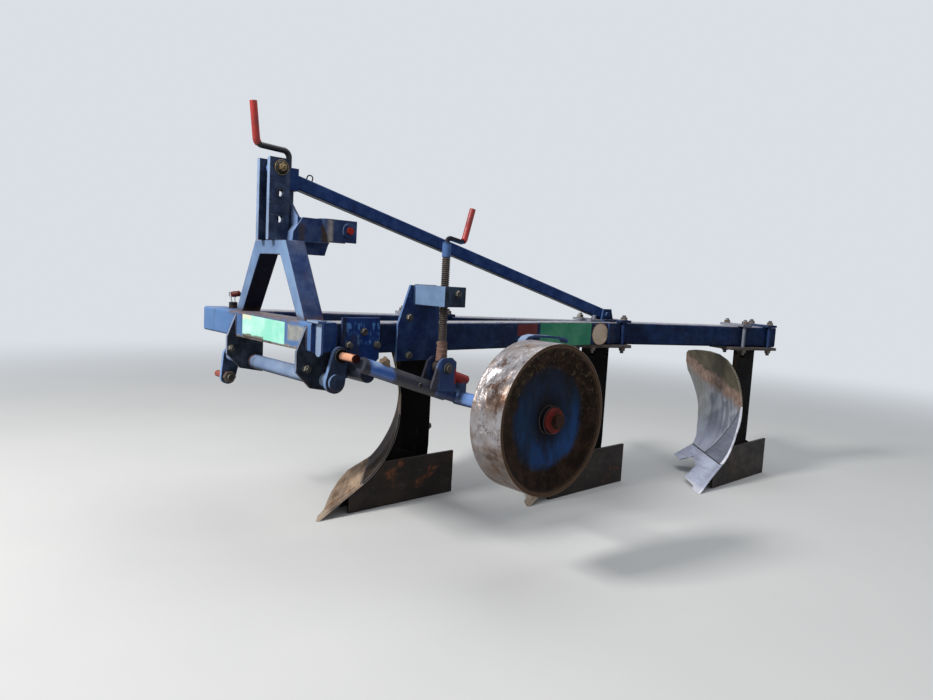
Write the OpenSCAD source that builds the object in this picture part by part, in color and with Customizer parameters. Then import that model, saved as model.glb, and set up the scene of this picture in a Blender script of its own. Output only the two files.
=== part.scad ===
// Mounted mouldboard plough with three bodies, millimetres.
// X is the travel direction, Y the plough's left (land) side, Z up, floor at the share tips.

/* [Frame] */
// height of the beams' top faces
beam_top = 815; // [760:1:880]
// height of the two beams
beam_h = 110; // [90:1:130]
// width of the diagonal main beam
beam_w = 110; // [90:1:130]
// wall of the square tubes
beam_t = 8; // [5:1:12]
// side of the front crossbeam's square tube
cross_s = 100; // [80:1:120]
// front face of the crossbeam
cross_x = 715; // [690:1:740]
// right end of the crossbeam
cross_r = -504; // [-540:1:-460]
// left end of the crossbeam and left face of the long beam
cross_l = 380; // [370:1:400]
// width of the long beam
long_w = 100; // [80:1:110]
// rear end of the main beam, measured at its left face
beam_rear = -1972; // [-2040:1:-1900]

/* [Bodies] */
// bodies on the beam
body_n = 3; // [2:1:3]
// distance between bodies along the travel
pitch_x = 858; // [800:1:920]
// furrow width, the sideways distance between bodies
pitch_y = 345; // [300:1:360]
// share tip ahead of the body's reference point
tip_x = 483; // [440:1:520]
// landside plane left of the reference point
land_y = 64; // [50:1:80]
// angle of the share edge to the travel
share_ang = 53; // [40:1:60]
// slope of the share
share_slope = 36; // [25:1:45]
// height at which the share's flat ends
share_z = 122; // [100:1:150]
// radius of the mouldboard's lower curve
mould_r1 = 340; // [300:1:400]
// radius of the mouldboard's upper curve
mould_r2 = 600; // [500:1:800]
// slope of the surface where the curves meet
mould_mid = 85; // [75:1:90]
// thickness of share, shin and mouldboard
mould_t = 9; // [6:1:12]
// thickness of the leg plate
leg_t = 28; // [20:1:35]
// width of the leg
leg_w = 183; // [150:1:200]

/* [Headstock] */
// height of the hitch tower's plates
head_top = 1386; // [1350:1:1450]
// top of the hitch tower's legs
tower_top = 1090; // [1050:1:1120]
// top link hole
link_d = 26; // [24:1:32]
// gap between the frame's left side and the left crank arm
hitch_gap = 16.5; // [10:0.5:30]
// diameter of the lower hitch pins
hitch_d = 28; // [22:1:37]

/* [Depth wheel] */
// radius of the depth wheel
wheel_r = 251; // [230:1:270]
// width of the depth wheel
wheel_w = 135; // [120:1:150]
// outer face of the wheel from the long beam's left face
wheel_out = 605; // [580:1:640]
// wheel axle along the travel
axle_x = 165; // [120:1:220]
// wheel axle height
axle_z = 545; // [500:1:580]
// diameter of the arm's front part
arm_d = 54; // [45:1:60]

/* [Hidden] */
$fn = 48;
e = 0.02;
arm_t = 16;                          // crank arms' plate
hitch_span = 2 * (cross_l + hitch_gap + arm_t);
wheel_y = cross_l + wheel_out;
datum = [640, -245, 0];
diag = 21.905;                       // main beam's angle to the travel
diag_c = [-26, -65];                 // a point on the main beam's centre line
beam_bot = beam_top - beam_h;
beam_len = (diag_c[0] - beam_rear - 20) / cos(diag);

blue = [0.09, 0.17, 0.42];
steel = [0.55, 0.56, 0.60];
rust = [0.38, 0.24, 0.16];
red = [0.72, 0.12, 0.08];

// helpers
module rrect(w, h, r) {
  square([w - 2 * r, h], center = true);
  square([w, h - 2 * r], center = true);
  for (x = [-1, 1], y = [-1, 1]) translate([x * (w / 2 - r), y * (h / 2 - r)]) circle(r);
}
// rounded tube along +X, from x0 to x1, centred on y and z
module tube(x0, x1, w, h, t, r) {
  translate([x0, 0, 0]) rotate([90, 0, 90]) linear_extrude(x1 - x0) difference() {
    rrect(w, h, r);
    rrect(w - 2 * t, h - 2 * t, max(r - t, 1));
  }
}
// plate lying in the X-Z plane, from y0 to y1
module plate_xz(y0, y1, pts) {
  translate([0, y1, 0]) rotate([90, 0, 0]) linear_extrude(y1 - y0) polygon(pts);
}
module rod_y(x, z, d, y0, y1) { translate([x, y0, z]) rotate([-90, 0, 0]) cylinder(d = d, h = y1 - y0); }
module rod_z(x, y, d, z0, z1) { translate([x, y, z0]) cylinder(d = d, h = z1 - z0); }
// round bar from a to b
module rod(a, b, d) {
  v = b - a;
  l = norm(v);
  translate(a) rotate([0, acos(v[2] / l), atan2(v[1], v[0])]) cylinder(d = d, h = l);
}
module on_diag() { translate([diag_c[0], diag_c[1], 0]) rotate([0, 0, 180 - diag]) children(); }
// fillet of radius r at corner q of the path p, q, n in the x-z plane: centre, first angle, turn, setback
function dir2(a, b) = (b - a) / norm(b - a);
function fillet(p, q, n, r) =
  let (u = dir2(q, p), v = dir2(q, n), w = acos(u * v), k = r / tan(w / 2),
    c = q + (u + v) / norm(u + v) * r / sin(w / 2), a = q + u * k - c, b = q + v * k - c)
  [c, atan2(a[1], a[0]), ((atan2(b[1], b[0]) - atan2(a[1], a[0]) + 540) % 360) - 180, k];
// part of a fillet as a round bar, from f0 to f1 of its turn
module bend(y, f, r, d, f0, f1) {
  a0 = f[1] + f[2] * f0;
  a1 = f[1] + f[2] * f1;
  translate([f[0][0], y, f[0][1]]) rotate([90, 0, 0]) rotate([0, 0, min(a0, a1)])
    rotate_extrude(angle = abs(a1 - a0)) translate([r, 0]) circle(d = d);
}
// straight round bar between two points of the x-z plane, set back at both ends to the fillets,
// a little thinner than they are and 1 mm inside them
module bar(y, a, b, d, k0, k1) {
  v = dir2(a, b);
  p = a + v * (k0 - (k0 > 0 ? 1 : 0));
  q = b - v * (k1 - (k1 > 0 ? 1 : 0));
  rod([p[0], y, p[1]], [q[0], y, q[1]], d - 0.4);
}

// frame
module main_beam() {
  color(blue) translate(datum) difference() {
    // along the diagonal x runs to the rear
    on_diag() translate([0, 0, beam_top - beam_h / 2])
      tube(-900, beam_len, beam_w, beam_h, beam_t, 12);
    translate([cross_x - cross_s, -900, 600]) cube([600, 1200, 400]);
  }
  // end plate with a drain hole
  color(blue) translate(datum) on_diag() difference() {
    translate([beam_len - 8, -beam_w / 2 + 4, beam_bot + 4]) cube([8, beam_w - 8, beam_h - 8]);
    rod_x(beam_len - 9, beam_len + 1, 0, beam_bot + 18, 12);
  }
}
module rod_x(x0, x1, y, z, d) { translate([x0, y, z]) rotate([0, 90, 0]) cylinder(d = d, h = x1 - x0); }

module long_beam() {
  color(blue) translate(datum) difference() {
    translate([0, cross_l - long_w / 2, beam_top - beam_h / 2])
      tube(-1100, cross_x - cross_s, long_w, beam_h, beam_t, 12);
    on_diag() translate([-900, -beam_w / 2, 600]) cube([2600, beam_w + 900, 400]);
    translate(body_at(1)) on_clamp() rod_z(-85, -68, 19, 600, 900);
  }
}

module crossbeam() {
  color(blue) translate(datum)
    translate([cross_x - cross_s / 2, (cross_l + cross_r) / 2, beam_top - cross_s / 2])
    rotate([0, 0, 90]) tube(-(cross_l - cross_r) / 2, (cross_l - cross_r) / 2, cross_s, cross_s, beam_t, 10);
  for (y = [cross_l - 6, cross_r]) color(blue) translate(datum) difference() {
    translate([cross_x - cross_s + 4, y, beam_top - cross_s + 4]) cube([cross_s - 8, 6, cross_s - 8]);
    rod_y(cross_x - 20, beam_top - cross_s + 20, 12, y - 1, y + 7);
  }
}

// hitch tower
tower_x = 685;
tower_d = 75;
tower_c = 15;
foot_y = 270;
apex_y = 118;
module hitch_tower() {
  color(blue) translate(datum) translate([tower_x, tower_c, 0]) rotate([90, 0, -90])
    linear_extrude(tower_d) polygon([[-apex_y, tower_top], [-foot_y, beam_top], [52 - foot_y, beam_top],
      [38 - apex_y, tower_top - 50], [apex_y - 38, tower_top - 50], [foot_y - 52, beam_top],
      [foot_y, beam_top], [apex_y, tower_top]]);
}
head_y = 0;
head_x = 710;
head_w = 80;
head_g = 60;
head_t = 20;
hole_x = 665;
hole_z = [1352, 1261, 1167];
module headstock() {
  color(blue) translate(datum) {
    for (s = [-1, 1]) difference() {
      y0 = s > 0 ? head_g / 2 : -head_g / 2 - head_t;
      translate([head_x - head_w, y0, tower_top]) cube([head_w, head_t, head_top - tower_top]);
      for (z = hole_z) rod_y(hole_x, z, link_d, y0 - 1, y0 + head_t + 1);
    }
    // sleeve of the crank's screw and its web to the near plate
    rod_z(607, 0, 34, tower_top, block_z - 0.3);
    translate([606, 12, tower_top]) cube([head_x - head_w - 605, head_g / 2 - 7, block_z - tower_top - 0.3]);
  }
}
block_x = 588;
block_z = 1276;
strut_a = [block_x, 0, 1314];
strut_b = [-957, 309.3, 849];
strut_v = strut_b - strut_a;
strut_l = norm(strut_v);
strut_yaw = atan2(strut_v[1], strut_v[0]);
strut_dip = asin(-strut_v[2] / strut_l);
module strut() {
  color(blue) translate(datum) difference() {
    translate(strut_a) rotate([0, 0, strut_yaw]) rotate([0, strut_dip, 0])
      tube(-40, strut_l + 20, 50, 50, 5, 6);
    translate([block_x, -100, 1200]) cube([100, 200, 300]);
    rod_at_junction(24.3, 60);
  }
}
module rod_at_junction(d, h) {
  translate(strut_b) rotate([0, 0, strut_yaw]) rotate([90, 0, 0]) cylinder(d = d, h = h * 2, center = true);
}
module strut_block() {
  color(blue) translate(datum) {
    translate([block_x, -38, block_z]) cube([head_x - head_w - block_x - 0.3, 76, 82]);
    difference() {
      union() {
        plate_xz(-22, 22, [[600, hole_z[0] - 24], [hole_x, hole_z[0] - 24], [hole_x, hole_z[0] + 24],
          [645, hole_z[0] + 24], [627, block_z + 81], [600, block_z + 81]]);
        rod_y(hole_x, hole_z[0], 48, -22, 22);
      }
      rod_y(hole_x, hole_z[0], 25.8, -40, 40);
    }
  }
}
module strut_bolt() { color(steel) translate(datum) rod_y(hole_x, hole_z[0], 25.4, -62, 62); }
// wire loop on the strut
module strut_loop() {
  color([0.1, 0.1, 0.12]) translate(datum) translate(strut_a) rotate([0, 0, strut_yaw]) rotate([0, strut_dip, 0])
    translate([54, 0, 25]) {
      for (x = [-11, 11]) rod_z(x, 0, 5, 0, 12);
      translate([0, 0, 12]) rotate([90, 0, 0]) rotate_extrude(angle = 180) translate([11, 0]) circle(d = 5);
    }
}
module junction_bracket() {
  color(blue) translate(datum) {
    translate([strut_b[0], strut_b[1], 0]) rotate([0, 0, strut_yaw]) difference() {
      for (s = [-1, 1]) {
        translate([-30, s * 40.75 - 13.25, beam_top]) cube([74, 26.5, 10]);
        translate([0, s * 33.5 + 6, 0]) rotate([90, 0, 0]) linear_extrude(12)
          polygon([[-30, beam_top + 9], [42, beam_top + 9], [28, 877], [-22, 877]]);
      }
      translate([0, 0, strut_b[2]]) rotate([90, 0, 0]) cylinder(d = 24.2, h = 100, center = true);
    }
  }
}
// bent side plate over the corner where the two beams' left faces meet
meet_x = diag_c[0] + 0.4 - (cross_l - diag_c[1] - beam_w / 2 / cos(diag)) / tan(diag);
module junction_cheek() {
  m = [meet_x, cross_l];
  along = [-cos(diag), sin(diag)];
  out = [sin(diag), cos(diag)];
  color(blue) translate(datum) translate([0, 0, beam_bot + 5]) linear_extrude(beam_h - 10)
    polygon([m, m + [65, 0], m + [65, 10], m + [10 * tan(diag / 2), 10], m + along * 22 + out * 10, m + along * 22]);
}
module junction_pin() {
  color(steel) translate(datum) translate(strut_b) rotate([0, 0, strut_yaw]) rotate([90, 0, 0])
    cylinder(d = 24, h = 100, center = true);
}
box_y = 82;
module link_box() {
  color(blue) translate(datum) {
    // side plate and its bent front
    plate_xz(box_y - 1, box_y + 10, [[637, tower_top], [633, 1126], [596, 1180], [519, 1180], [482, 1101],
      [482, tower_top]]);
    plate_xz(head_g / 2 + head_t, box_y + 1, [[637, tower_top], [633, 1126], [596, 1180], [584, 1180],
      [625, 1122], [629, tower_top]]);
    // cross gusset
    translate([615, 0, 0]) rotate([90, 0, -90]) linear_extrude(9)
      polygon([[-box_y - 5, tower_top], [-box_y - 5, 1180], [-35, 1228], [-35, tower_top]]);
    // open-ended strap round the pin
    difference() {
      translate([400, box_y - 45, 1101]) linear_extrude(85) rrect(200, 90, 40);
      translate([400, box_y - 45, 1091]) linear_extrude(105) rrect(180, 70, 30);
      translate([250, -100, 1090]) cube([104, 300, 120]);
      rod_y(390, 1146, 28.1, -60, 130);
    }
    plate_xz(box_y - 60, box_y - 40, [[610, 1046], [610, 1089.7], [598, 1089.7], [598, 1110], [486, 1110],
      [486, 1101], [452, 1101], [470, 1046]]);
    difference() {
      rod_y(390, 1146, 60, box_y - 1, box_y + 8);
      rod_y(390, 1146, 28.1, box_y - 10, box_y + 20);
    }
  }
}
module link_pin() { color(red) translate(datum) rod_y(390, 1146, 28, box_y - 100, box_y + 14); }
// short socket on the crossbeam's top
module beam_socket() {
  color(blue) translate(datum) difference() {
    rod_z(647, -372, 34, beam_top, beam_top + 25);
    rod_z(647, -372, 20, beam_top + 4, beam_top + 30);
  }
}
// bent cranks as paths in the x-z plane
top_path = [[610, block_z + 82], [610, 1421], [738, 1428], [755, 1576]];
top_r = 24;
module top_crank() {
  f1 = fillet(top_path[0], top_path[1], top_path[2], top_r);
  f2 = fillet(top_path[1], top_path[2], top_path[3], top_r);
  color([0.1, 0.1, 0.12]) translate(datum) {
    bar(0, top_path[0], top_path[1], 22, 0, f1[3]);
    bend(0, f1, top_r, 22, 0, 1);
    bar(0, top_path[1], top_path[2], 22, f1[3], f2[3]);
    bend(0, f2, top_r, 22, 0, 0.45);
  }
}
module top_grip() {
  f = fillet(top_path[1], top_path[2], top_path[3], top_r);
  color(red) translate(datum) {
    bend(0, f, top_r, 27, 0.455, 1);
    bar(0, top_path[2], top_path[3], 27, f[3], 0);
  }
}

// hangers, cross shaft and lower hitch pins
shaft_x = 635;
shaft_z = 615;
shaft_d = 55;
arm_l = 92;
hang_t = 12;
hang_pts = [[715, 802], [750, 716], [750, 648], [694, 590], [600, 572], [600, 704], [616, 704],
  [616, 715], [715, 715]];
module hanger(y0) {
  color(blue) translate(datum) difference() {
    plate_xz(y0, y0 + hang_t, hang_pts);
    rod_y(shaft_x, shaft_z, shaft_d + 0.1, y0 - 1, y0 + hang_t + 1);
  }
}
hang_y = [cross_l - 40, -202];
module corner_strap() {
  color(blue) translate(datum) {
    translate([690, 0, 0]) rotate([90, 0, 90]) linear_extrude(8) {
      translate([cross_l, 722]) square([38, beam_top - 714]);
      translate([cross_l + 19, 722]) circle(19);
    }
    translate([680, cross_l - 34, beam_top]) cube([32, 72, 8]);
  }
}
module cross_shaft() {
  color(blue) translate(datum) difference() {
    rod_y(shaft_x, shaft_z, shaft_d, -hitch_span / 2 + arm_t, hitch_span / 2 - arm_t);
    rod_y(shaft_x, shaft_z, shaft_d - 18, -hitch_span / 2, hitch_span / 2);
  }
}
// columns: side, slant of the arm from the vertical, up or down
arm_tab = [[1, 12, 1], [-1, 10, -1]];
arm_r = [38, 31];                    // arm's radii at the shaft and at the pin
pin_l = 92;                          // pin's reach from the shoulder
function pin_at(i) = [shaft_x - arm_tab[i][2] * arm_l * sin(arm_tab[i][1]),
  shaft_z + arm_tab[i][2] * arm_l * cos(arm_tab[i][1])];
module crank_arm(i) {
  s = arm_tab[i][0];
  p = pin_at(i);
  y0 = s > 0 ? hitch_span / 2 - arm_t : -hitch_span / 2;
  a = atan2(p[1] - shaft_z, p[0] - shaft_x);
  b = asin((arm_r[0] - arm_r[1]) / arm_l);
  color(blue) translate(datum) {
    translate([shaft_x, y0 + arm_t, shaft_z]) rotate([90, 0, 0])
      rotate([0, 0, a]) linear_extrude(arm_t) difference() {
        union() {
          circle(arm_r[0]);
          translate([arm_l, 0]) circle(arm_r[1]);
          polygon([for (k = [[0, -1], [1, -1], [1, 1], [0, 1]])
            [k[0] * arm_l + arm_r[k[0]] * sin(b), k[1] * arm_r[k[0]] * cos(b)]]);
        }
        translate([arm_l, 0]) circle(hitch_d / 2 + 0.05);
      }
    rod_y(shaft_x, shaft_z, 58, s > 0 ? y0 + arm_t - 1 : y0 - 10, s > 0 ? y0 + arm_t + 10 : y0 + 1);
  }
}
module hitch_pin(i) {
  s = arm_tab[i][0];
  p = pin_at(i);
  h = hitch_span / 2;
  color([0.75, 0.35, 0.2]) translate(datum) difference() {
    union() {
      rod_y(p[0], p[1], hitch_d, s > 0 ? h - arm_t : -h - pin_l, s > 0 ? h + pin_l : -h + arm_t + 1);
      rod_y(p[0], p[1], 46, s > 0 ? h : -h - 7, s > 0 ? h + 7 : -h);
      if (s < 0) translate([p[0], -h + arm_t, p[1]]) rotate([-90, 0, 0]) cylinder(d = 50, h = 20, $fn = 6);
    }
    rod_z(p[0], s * (h + pin_l - 16), 12, p[1] - 40, p[1] + 40);
  }
}

// depth wheel
piv_x = 560;
piv_z = 650;
arm_y = cross_l + 125;
arm_top = 674;
arm_f = 598;                         // front end of the arm's tube
arm_s = (arm_top - axle_z) / (piv_x - axle_x);
function arm_z(x) = arm_top - (piv_x - x) * arm_s;
function from(c, pts) = [for (q = pts) c + q];
module pivot_plate() {
  color(blue) translate(datum) {
    plate_xz(cross_l, cross_l + 10, from([piv_x, piv_z],
      [[-115, 38], [-45, -26], [32, -26], [40, 50], [40, 183], [-115, 183]]));
    rod_y(piv_x, piv_z, 36, cross_l + 9, arm_y - 30);
  }
}
module wheel_arm() {
  color(blue) translate(datum) difference() {
    union() {
      rod_y(piv_x, piv_z, 58, cross_l + 15, arm_y - 12);
      rod([arm_f, arm_y, arm_z(arm_f)], [228, arm_y, arm_z(228)], arm_d);
      rod([236, arm_y, arm_z(236)], [122, arm_y, arm_z(122)], 44);
      rod_y(axle_x, axle_z, 40, arm_y, wheel_y + 2.7);
      rod_y(axle_x, axle_z, 52, arm_y, wheel_y - 140);
      for (y = [arm_y - 37, arm_y + 26]) plate_xz(y, y + 11, from([ear_x, ear_z],
        [[75, -72], [42, 22], [21, 38], [-20, 38], [-41, 22], [-41, -90]]));
      rod_y(ear_x, ear_z, 17.6, arm_y - 46, arm_y + 46);
      rod([208, arm_y + 20, 634], [140, arm_y + 20, 612], 34);
      translate([150, arm_y + 4, 555]) cube([30, 30, 62]);
    }
    rod_y(piv_x, piv_z, 36.1, cross_l, arm_y - 28.9);
  }
}
// wheel's section: distance from the axle, distance from the inner face
wheel_sec = [[wheel_r, 0], [wheel_r, wheel_w], [wheel_r - 11, wheel_w], [wheel_r - 16, wheel_w - 6],
  [172, wheel_w - 27], [30, wheel_w - 27], [30, wheel_w - 35], [170, wheel_w - 35],
  [wheel_r - 15, wheel_w - 14], [wheel_r - 7, wheel_w - 12], [wheel_r - 7, 0]];
module depth_wheel() {
  color(steel) translate(datum) difference() {
    union() {
      translate([axle_x, wheel_y - wheel_w, axle_z]) rotate([-90, 0, 0])
        rotate_extrude($fn = 96) polygon(wheel_sec);
      rod_y(axle_x, axle_z, 92, wheel_y - 130, wheel_y - 8);
    }
    rod_y(axle_x, axle_z, 40.1, wheel_y - 140, wheel_y + 10);
  }
}
module wheel_hub() {
  color(red) translate(datum) {
    difference() {
      rod_y(axle_x, axle_z, 84, wheel_y - 7.7, wheel_y + 2);
      rod_y(axle_x, axle_z, 40.3, wheel_y - 12, wheel_y + 5.3);
    }
    difference() {
      translate([axle_x, wheel_y + 1, axle_z]) rotate([-90, 0, 0]) rotate([0, 0, 15]) cylinder(d = 50, h = 22, $fn = 6);
      rod_y(axle_x, axle_z, 40.3, wheel_y - 12, wheel_y + 5.3);
    }
  }
}
scr_y = wheel_y - wheel_w - 38;
module scraper() {
  color(blue) translate(datum) {
    difference() {
      union() {
        // bent strap, outer and inner side
        plate_xz(scr_y, scr_y + 32, from([axle_x, axle_z], [[13, 0], [19, 225], [12, 249], [-5, 261],
          [-35, 266], [-125, 261], [-196, 254], [-208, 250], [-217, 239], [-210, 234], [-203, 243],
          [-194, 246], [-124, 253], [-35, 258], [-8, 253], [5, 244], [11, 224], [5, 0]]));
        rod_y(axle_x, axle_z, 84, scr_y, scr_y + 20);
      }
      rod_y(axle_x, axle_z, 52.1, scr_y - 10, scr_y + 40);
    }
  }
}
screw_x = 250;
ear_x = screw_x - 2;
ear_z = 662;
module screw_stand() {
  color(blue) translate(datum) plate_xz(cross_l, cross_l + 10,
    [for (q = [[64, 954], [115, 809], [117, 675], [-84, 675], [-74, 954]]) [screw_x + q[0], q[1]]]);
}
module nut_box() {
  color(blue) translate(datum) difference() {
    translate([screw_x - 52, cross_l + 10, 884]) cube([98, arm_y - cross_l + 47, 72]);
    translate([screw_x - 44, cross_l + 9, 892]) cube([82, arm_y - cross_l - 33, 56]);
    rod_z(screw_x, arm_y, 27, 870, 970);
  }
}
module depth_screw() {
  color(rust) translate(datum) difference() {
    union() {
      rod_z(screw_x, arm_y, 26, ear_z, 1060);
      rod_y(screw_x, ear_z, 46, arm_y - 24, arm_y + 24);
    }
    rod_y(screw_x, ear_z, 23.2, arm_y - 30, arm_y + 30);
  }
}
screw_path = [[screw_x, 1112], [screw_x, 1131], [screw_x - 80, 1117], [screw_x - 116, 1242]];
screw_r = [15, 19];
module screw_crank() {
  f1 = fillet(screw_path[0], screw_path[1], screw_path[2], screw_r[0]);
  f2 = fillet(screw_path[1], screw_path[2], screw_path[3], screw_r[1]);
  color([0.1, 0.1, 0.12]) translate(datum) {
    rod_z(screw_x, arm_y, 32, 1060, 1113);
    bar(arm_y, screw_path[0], screw_path[1], 18, 0, f1[3]);
    bend(arm_y, f1, screw_r[0], 18, 0, 1);
    bar(arm_y, screw_path[1], screw_path[2], 18, f1[3], f2[3]);
    bend(arm_y, f2, screw_r[1], 18, 0, 0.5);
  }
}
module screw_grip() {
  f = fillet(screw_path[1], screw_path[2], screw_path[3], screw_r[1]);
  color(red) translate(datum) {
    bend(arm_y, f, screw_r[1], 23, 0.51, 1);
    bar(arm_y, screw_path[2], screw_path[3], 23, f[3], 0);
  }
}

// plough bodies
mz = share_z;
mn = share_z / tan(share_slope);
c1 = [mn - mould_r1 * sin(share_slope), mz + mould_r1 * cos(share_slope)];
p1 = [c1[0] + mould_r1 * sin(mould_mid), c1[1] - mould_r1 * cos(mould_mid)];
c2 = [p1[0] - mould_r2 * sin(mould_mid), p1[1] + mould_r2 * cos(mould_mid)];
surf_l = 1000;

// local frame of a body's working surface: x back from the share edge, y along it, z up
module at_surface() {
  translate([tip_x, land_y, 0]) rotate([0, 0, 90 + share_ang]) children();
}
module along_edge(y0, y1) { translate([0, y1, 0]) rotate([90, 0, 0]) linear_extrude(y1 - y0) children(); }
function ray(c, r, a) = [c[0] + r * sin(a), c[1] - r * cos(a)];
// section of the working surface: share flat, lower arc, upper arc
module section() {
  ca = cos(share_slope);
  sa = sin(share_slope);
  q0 = [-60, -60 * sa / ca];
  q1 = [mn, mz];
  o = [sa * mould_t, -ca * mould_t];
  polygon([q0, q0 + o, q1 + o, q1]);
  intersection() {
    difference() {
      translate(c1) circle(mould_r1 + mould_t, $fn = 96);
      translate(c1) circle(mould_r1, $fn = 96);
    }
    polygon([c1, ray(c1, 900, share_slope), ray(c1, 900, mould_mid + 0.02)]);
  }
  intersection() {
    difference() {
      translate(c2) circle(mould_r2 + mould_t, $fn = 96);
      translate(c2) circle(mould_r2, $fn = 96);
    }
    polygon([c2, ray(c2, 900, mould_mid), ray(c2, 900, 135)]);
  }
}
// piece of the working surface, cut to an outline given as [along the edge, height]
module skin(outline) {
  intersection() {
    along_edge(-120, surf_l) section();
    translate([-300, 0, 0]) rotate([90, 0, 90]) linear_extrude(900) polygon(outline);
  }
}
// all the space in front of the surface's back, less a gap
function arc_pts(c, r, a0, a1, n) = [for (k = [0:n]) ray(c, r, a0 + (a1 - a0) * k / n)];
module front_space(gap) {
  b = mould_t + gap;
  start = [-60 + b * sin(share_slope), -60 * tan(share_slope) - b * cos(share_slope)];
  along_edge(-300, surf_l) polygon(concat([start], arc_pts(c1, mould_r1 + b, share_slope, mould_mid, 14),
    arc_pts(c2, mould_r2 + b, mould_mid + 3, 121, 12), [[-700, 740], [-700, start[1]]]));
}

share_out = [[-8, 0], [60, 0], [92, 14], [300, 20], [440, 36], [526, 62], [508, 134.3], [113, 118], [60, 62]];
// the rear share has lost a piece of its edge
share_worn = [[-8, 0], [60, 0], [92, 14], [218, 20], [262, 74], [310, 84], [369, 97], [428, 60],
  [528, 67], [508, 134.3], [113, 118], [60, 62]];
shin_out = [[115, 120], [330, 128], [322, 180], [300, 270], [262, 345], [234, 400], [229, 370],
  [210, 257], [178, 197]];
mould_out = [[332, 129.5], [503, 136], [560, 178], [618, 212], [689, 275], [733, 328], [774, 370],
  [822, 414], [879, 468], [926, 505], [936, 560], [905, 612], [868, 630], [760, 645], [670, 652],
  [560, 657], [450, 652], [370, 630], [322, 600], [291, 560], [268, 516], [250, 460], [238, 412],
  [236, 403], [264, 347], [302, 271.5], [324, 181]];

function body_at(i) = [-i * pitch_x, i * pitch_y, 0];
module at_body(i) { translate(datum) translate(body_at(i)) children(); }
leg_x0 = -133;
leg_x1 = leg_x0 + leg_w;
module leg(i) {
  color([0.13, 0.13, 0.17]) at_body(i) {
    difference() {
      union() {
        plate_xz(-leg_t, 0, [[leg_x0, beam_bot - 14], [leg_x1, beam_bot - 14], [leg_x1, 420], [60, 370],
          [360, 40], [120, 40], [-60, 60], [leg_x0 + 10, 100], [leg_x0, 220]]);
        plate_xz(land_y - 24, land_y - 12.2, [[-70, 190], [60, 240], [60, 370], [360, 30], [-70, 30]]);
        for (x = [-66, 30]) translate([x, -1, 40]) cube([12, land_y - 22, 140]);
        rod([-64, -20, 350], [-150, -260, 372], 24);
      }
      at_surface() front_space(0.5);
      translate([0, -200, -1]) cube([500, 500, 31]);
      // room for the nut of the clamp's bolt beside the leg
      on_clamp() rod_z(-85, -68, 48, beam_bot - 55, beam_bot - 5);
    }
    foot();
  }
}
clamp_c = -103;
function diag_y(x) = diag_c[1] - (x - diag_c[0]) * tan(diag);
module on_clamp() { translate([clamp_c, diag_y(clamp_c), 0]) rotate([0, 0, 180 - diag]) children(); }
// foot plate under the beam
module foot() {
  on_clamp() difference() {
    translate([-175, -88, beam_bot - 15]) cube([300, 176, 15]);
    for (x = [-85, 85], y = [-68, 68]) rod_z(x, y, 19, beam_bot - 30, beam_bot + 10);
  }
}
module clamp(i, x) {
  color(blue) at_body(i) on_clamp() {
    translate([x - 30, -88, beam_top]) cube([60, 176, 12]);
    for (y = [-68, 68]) rod_z(x, y, 18, beam_bot - 34, beam_top + 32);
  }
}
module landside(i) {
  color(rust) at_body(i) difference() {
    plate_xz(land_y - 12, land_y, [[-232, 0], [330, 0], [330, 110], [180, 195], [-232, 195]]);
    at_surface() front_space(0.5);
  }
}
module share(i) { color(steel) at_body(i) at_surface() skin(i == 2 ? share_worn : share_out); }
module shin(i) { color(steel) at_body(i) at_surface() skin(shin_out); }
module mouldboard(i) { color(steel) at_body(i) at_surface() skin(mould_out); }

main_beam();
long_beam();
crossbeam();
hitch_tower();
headstock();
strut();
strut_block();
strut_bolt();
strut_loop();
junction_bracket();
junction_pin();
junction_cheek();
link_box();
link_pin();
top_crank();
top_grip();
beam_socket();
hanger(hang_y[0]);  // hanger_left
hanger(hang_y[1]);  // hanger_right
corner_strap();
cross_shaft();
crank_arm(0);  // crank_arm_left
crank_arm(1);  // crank_arm_right
hitch_pin(0);  // hitch_pin_left
hitch_pin(1);  // hitch_pin_right
pivot_plate();
wheel_arm();
depth_wheel();
wheel_hub();
scraper();
screw_stand();
nut_box();
depth_screw();
screw_crank();
screw_grip();
leg(0);  // leg_1
landside(0);  // landside_1
share(0);  // share_1
shin(0);  // shin_1
mouldboard(0);  // mouldboard_1
clamp(0, -85);  // clamp_front_1
clamp(0, 85);  // clamp_rear_1
leg(1);  // leg_2
landside(1);  // landside_2
share(1);  // share_2
shin(1);  // shin_2
mouldboard(1);  // mouldboard_2
clamp(1, -85);  // clamp_front_2
clamp(1, 85);  // clamp_rear_2
leg(2);  // leg_3
landside(2);  // landside_3
share(2);  // share_3
shin(2);  // shin_3
mouldboard(2);  // mouldboard_3
clamp(2, -85);  // clamp_front_3
clamp(2, 85);  // clamp_rear_3
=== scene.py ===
import math
import random
import bpy
import bmesh
from mathutils import Matrix, Vector, noise


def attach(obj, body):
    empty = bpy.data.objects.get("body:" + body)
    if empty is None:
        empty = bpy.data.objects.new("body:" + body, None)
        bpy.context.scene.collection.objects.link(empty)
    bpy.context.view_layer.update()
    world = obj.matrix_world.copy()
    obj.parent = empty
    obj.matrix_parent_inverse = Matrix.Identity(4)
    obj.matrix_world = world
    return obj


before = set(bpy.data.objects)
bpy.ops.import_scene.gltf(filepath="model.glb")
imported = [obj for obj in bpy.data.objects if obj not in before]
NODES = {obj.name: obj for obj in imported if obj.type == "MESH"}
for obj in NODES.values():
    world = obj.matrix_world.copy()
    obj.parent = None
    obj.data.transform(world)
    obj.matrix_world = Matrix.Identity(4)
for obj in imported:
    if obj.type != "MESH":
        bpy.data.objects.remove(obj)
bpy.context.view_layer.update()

random.seed(7)

# the plough's own frame is in millimetres, X forward, Y left and Z up; the datum moves it to the row frame
DATUM = (640.0, -245.0, 0.0)
BODIES = 3
LAST = BODIES - 1
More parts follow.
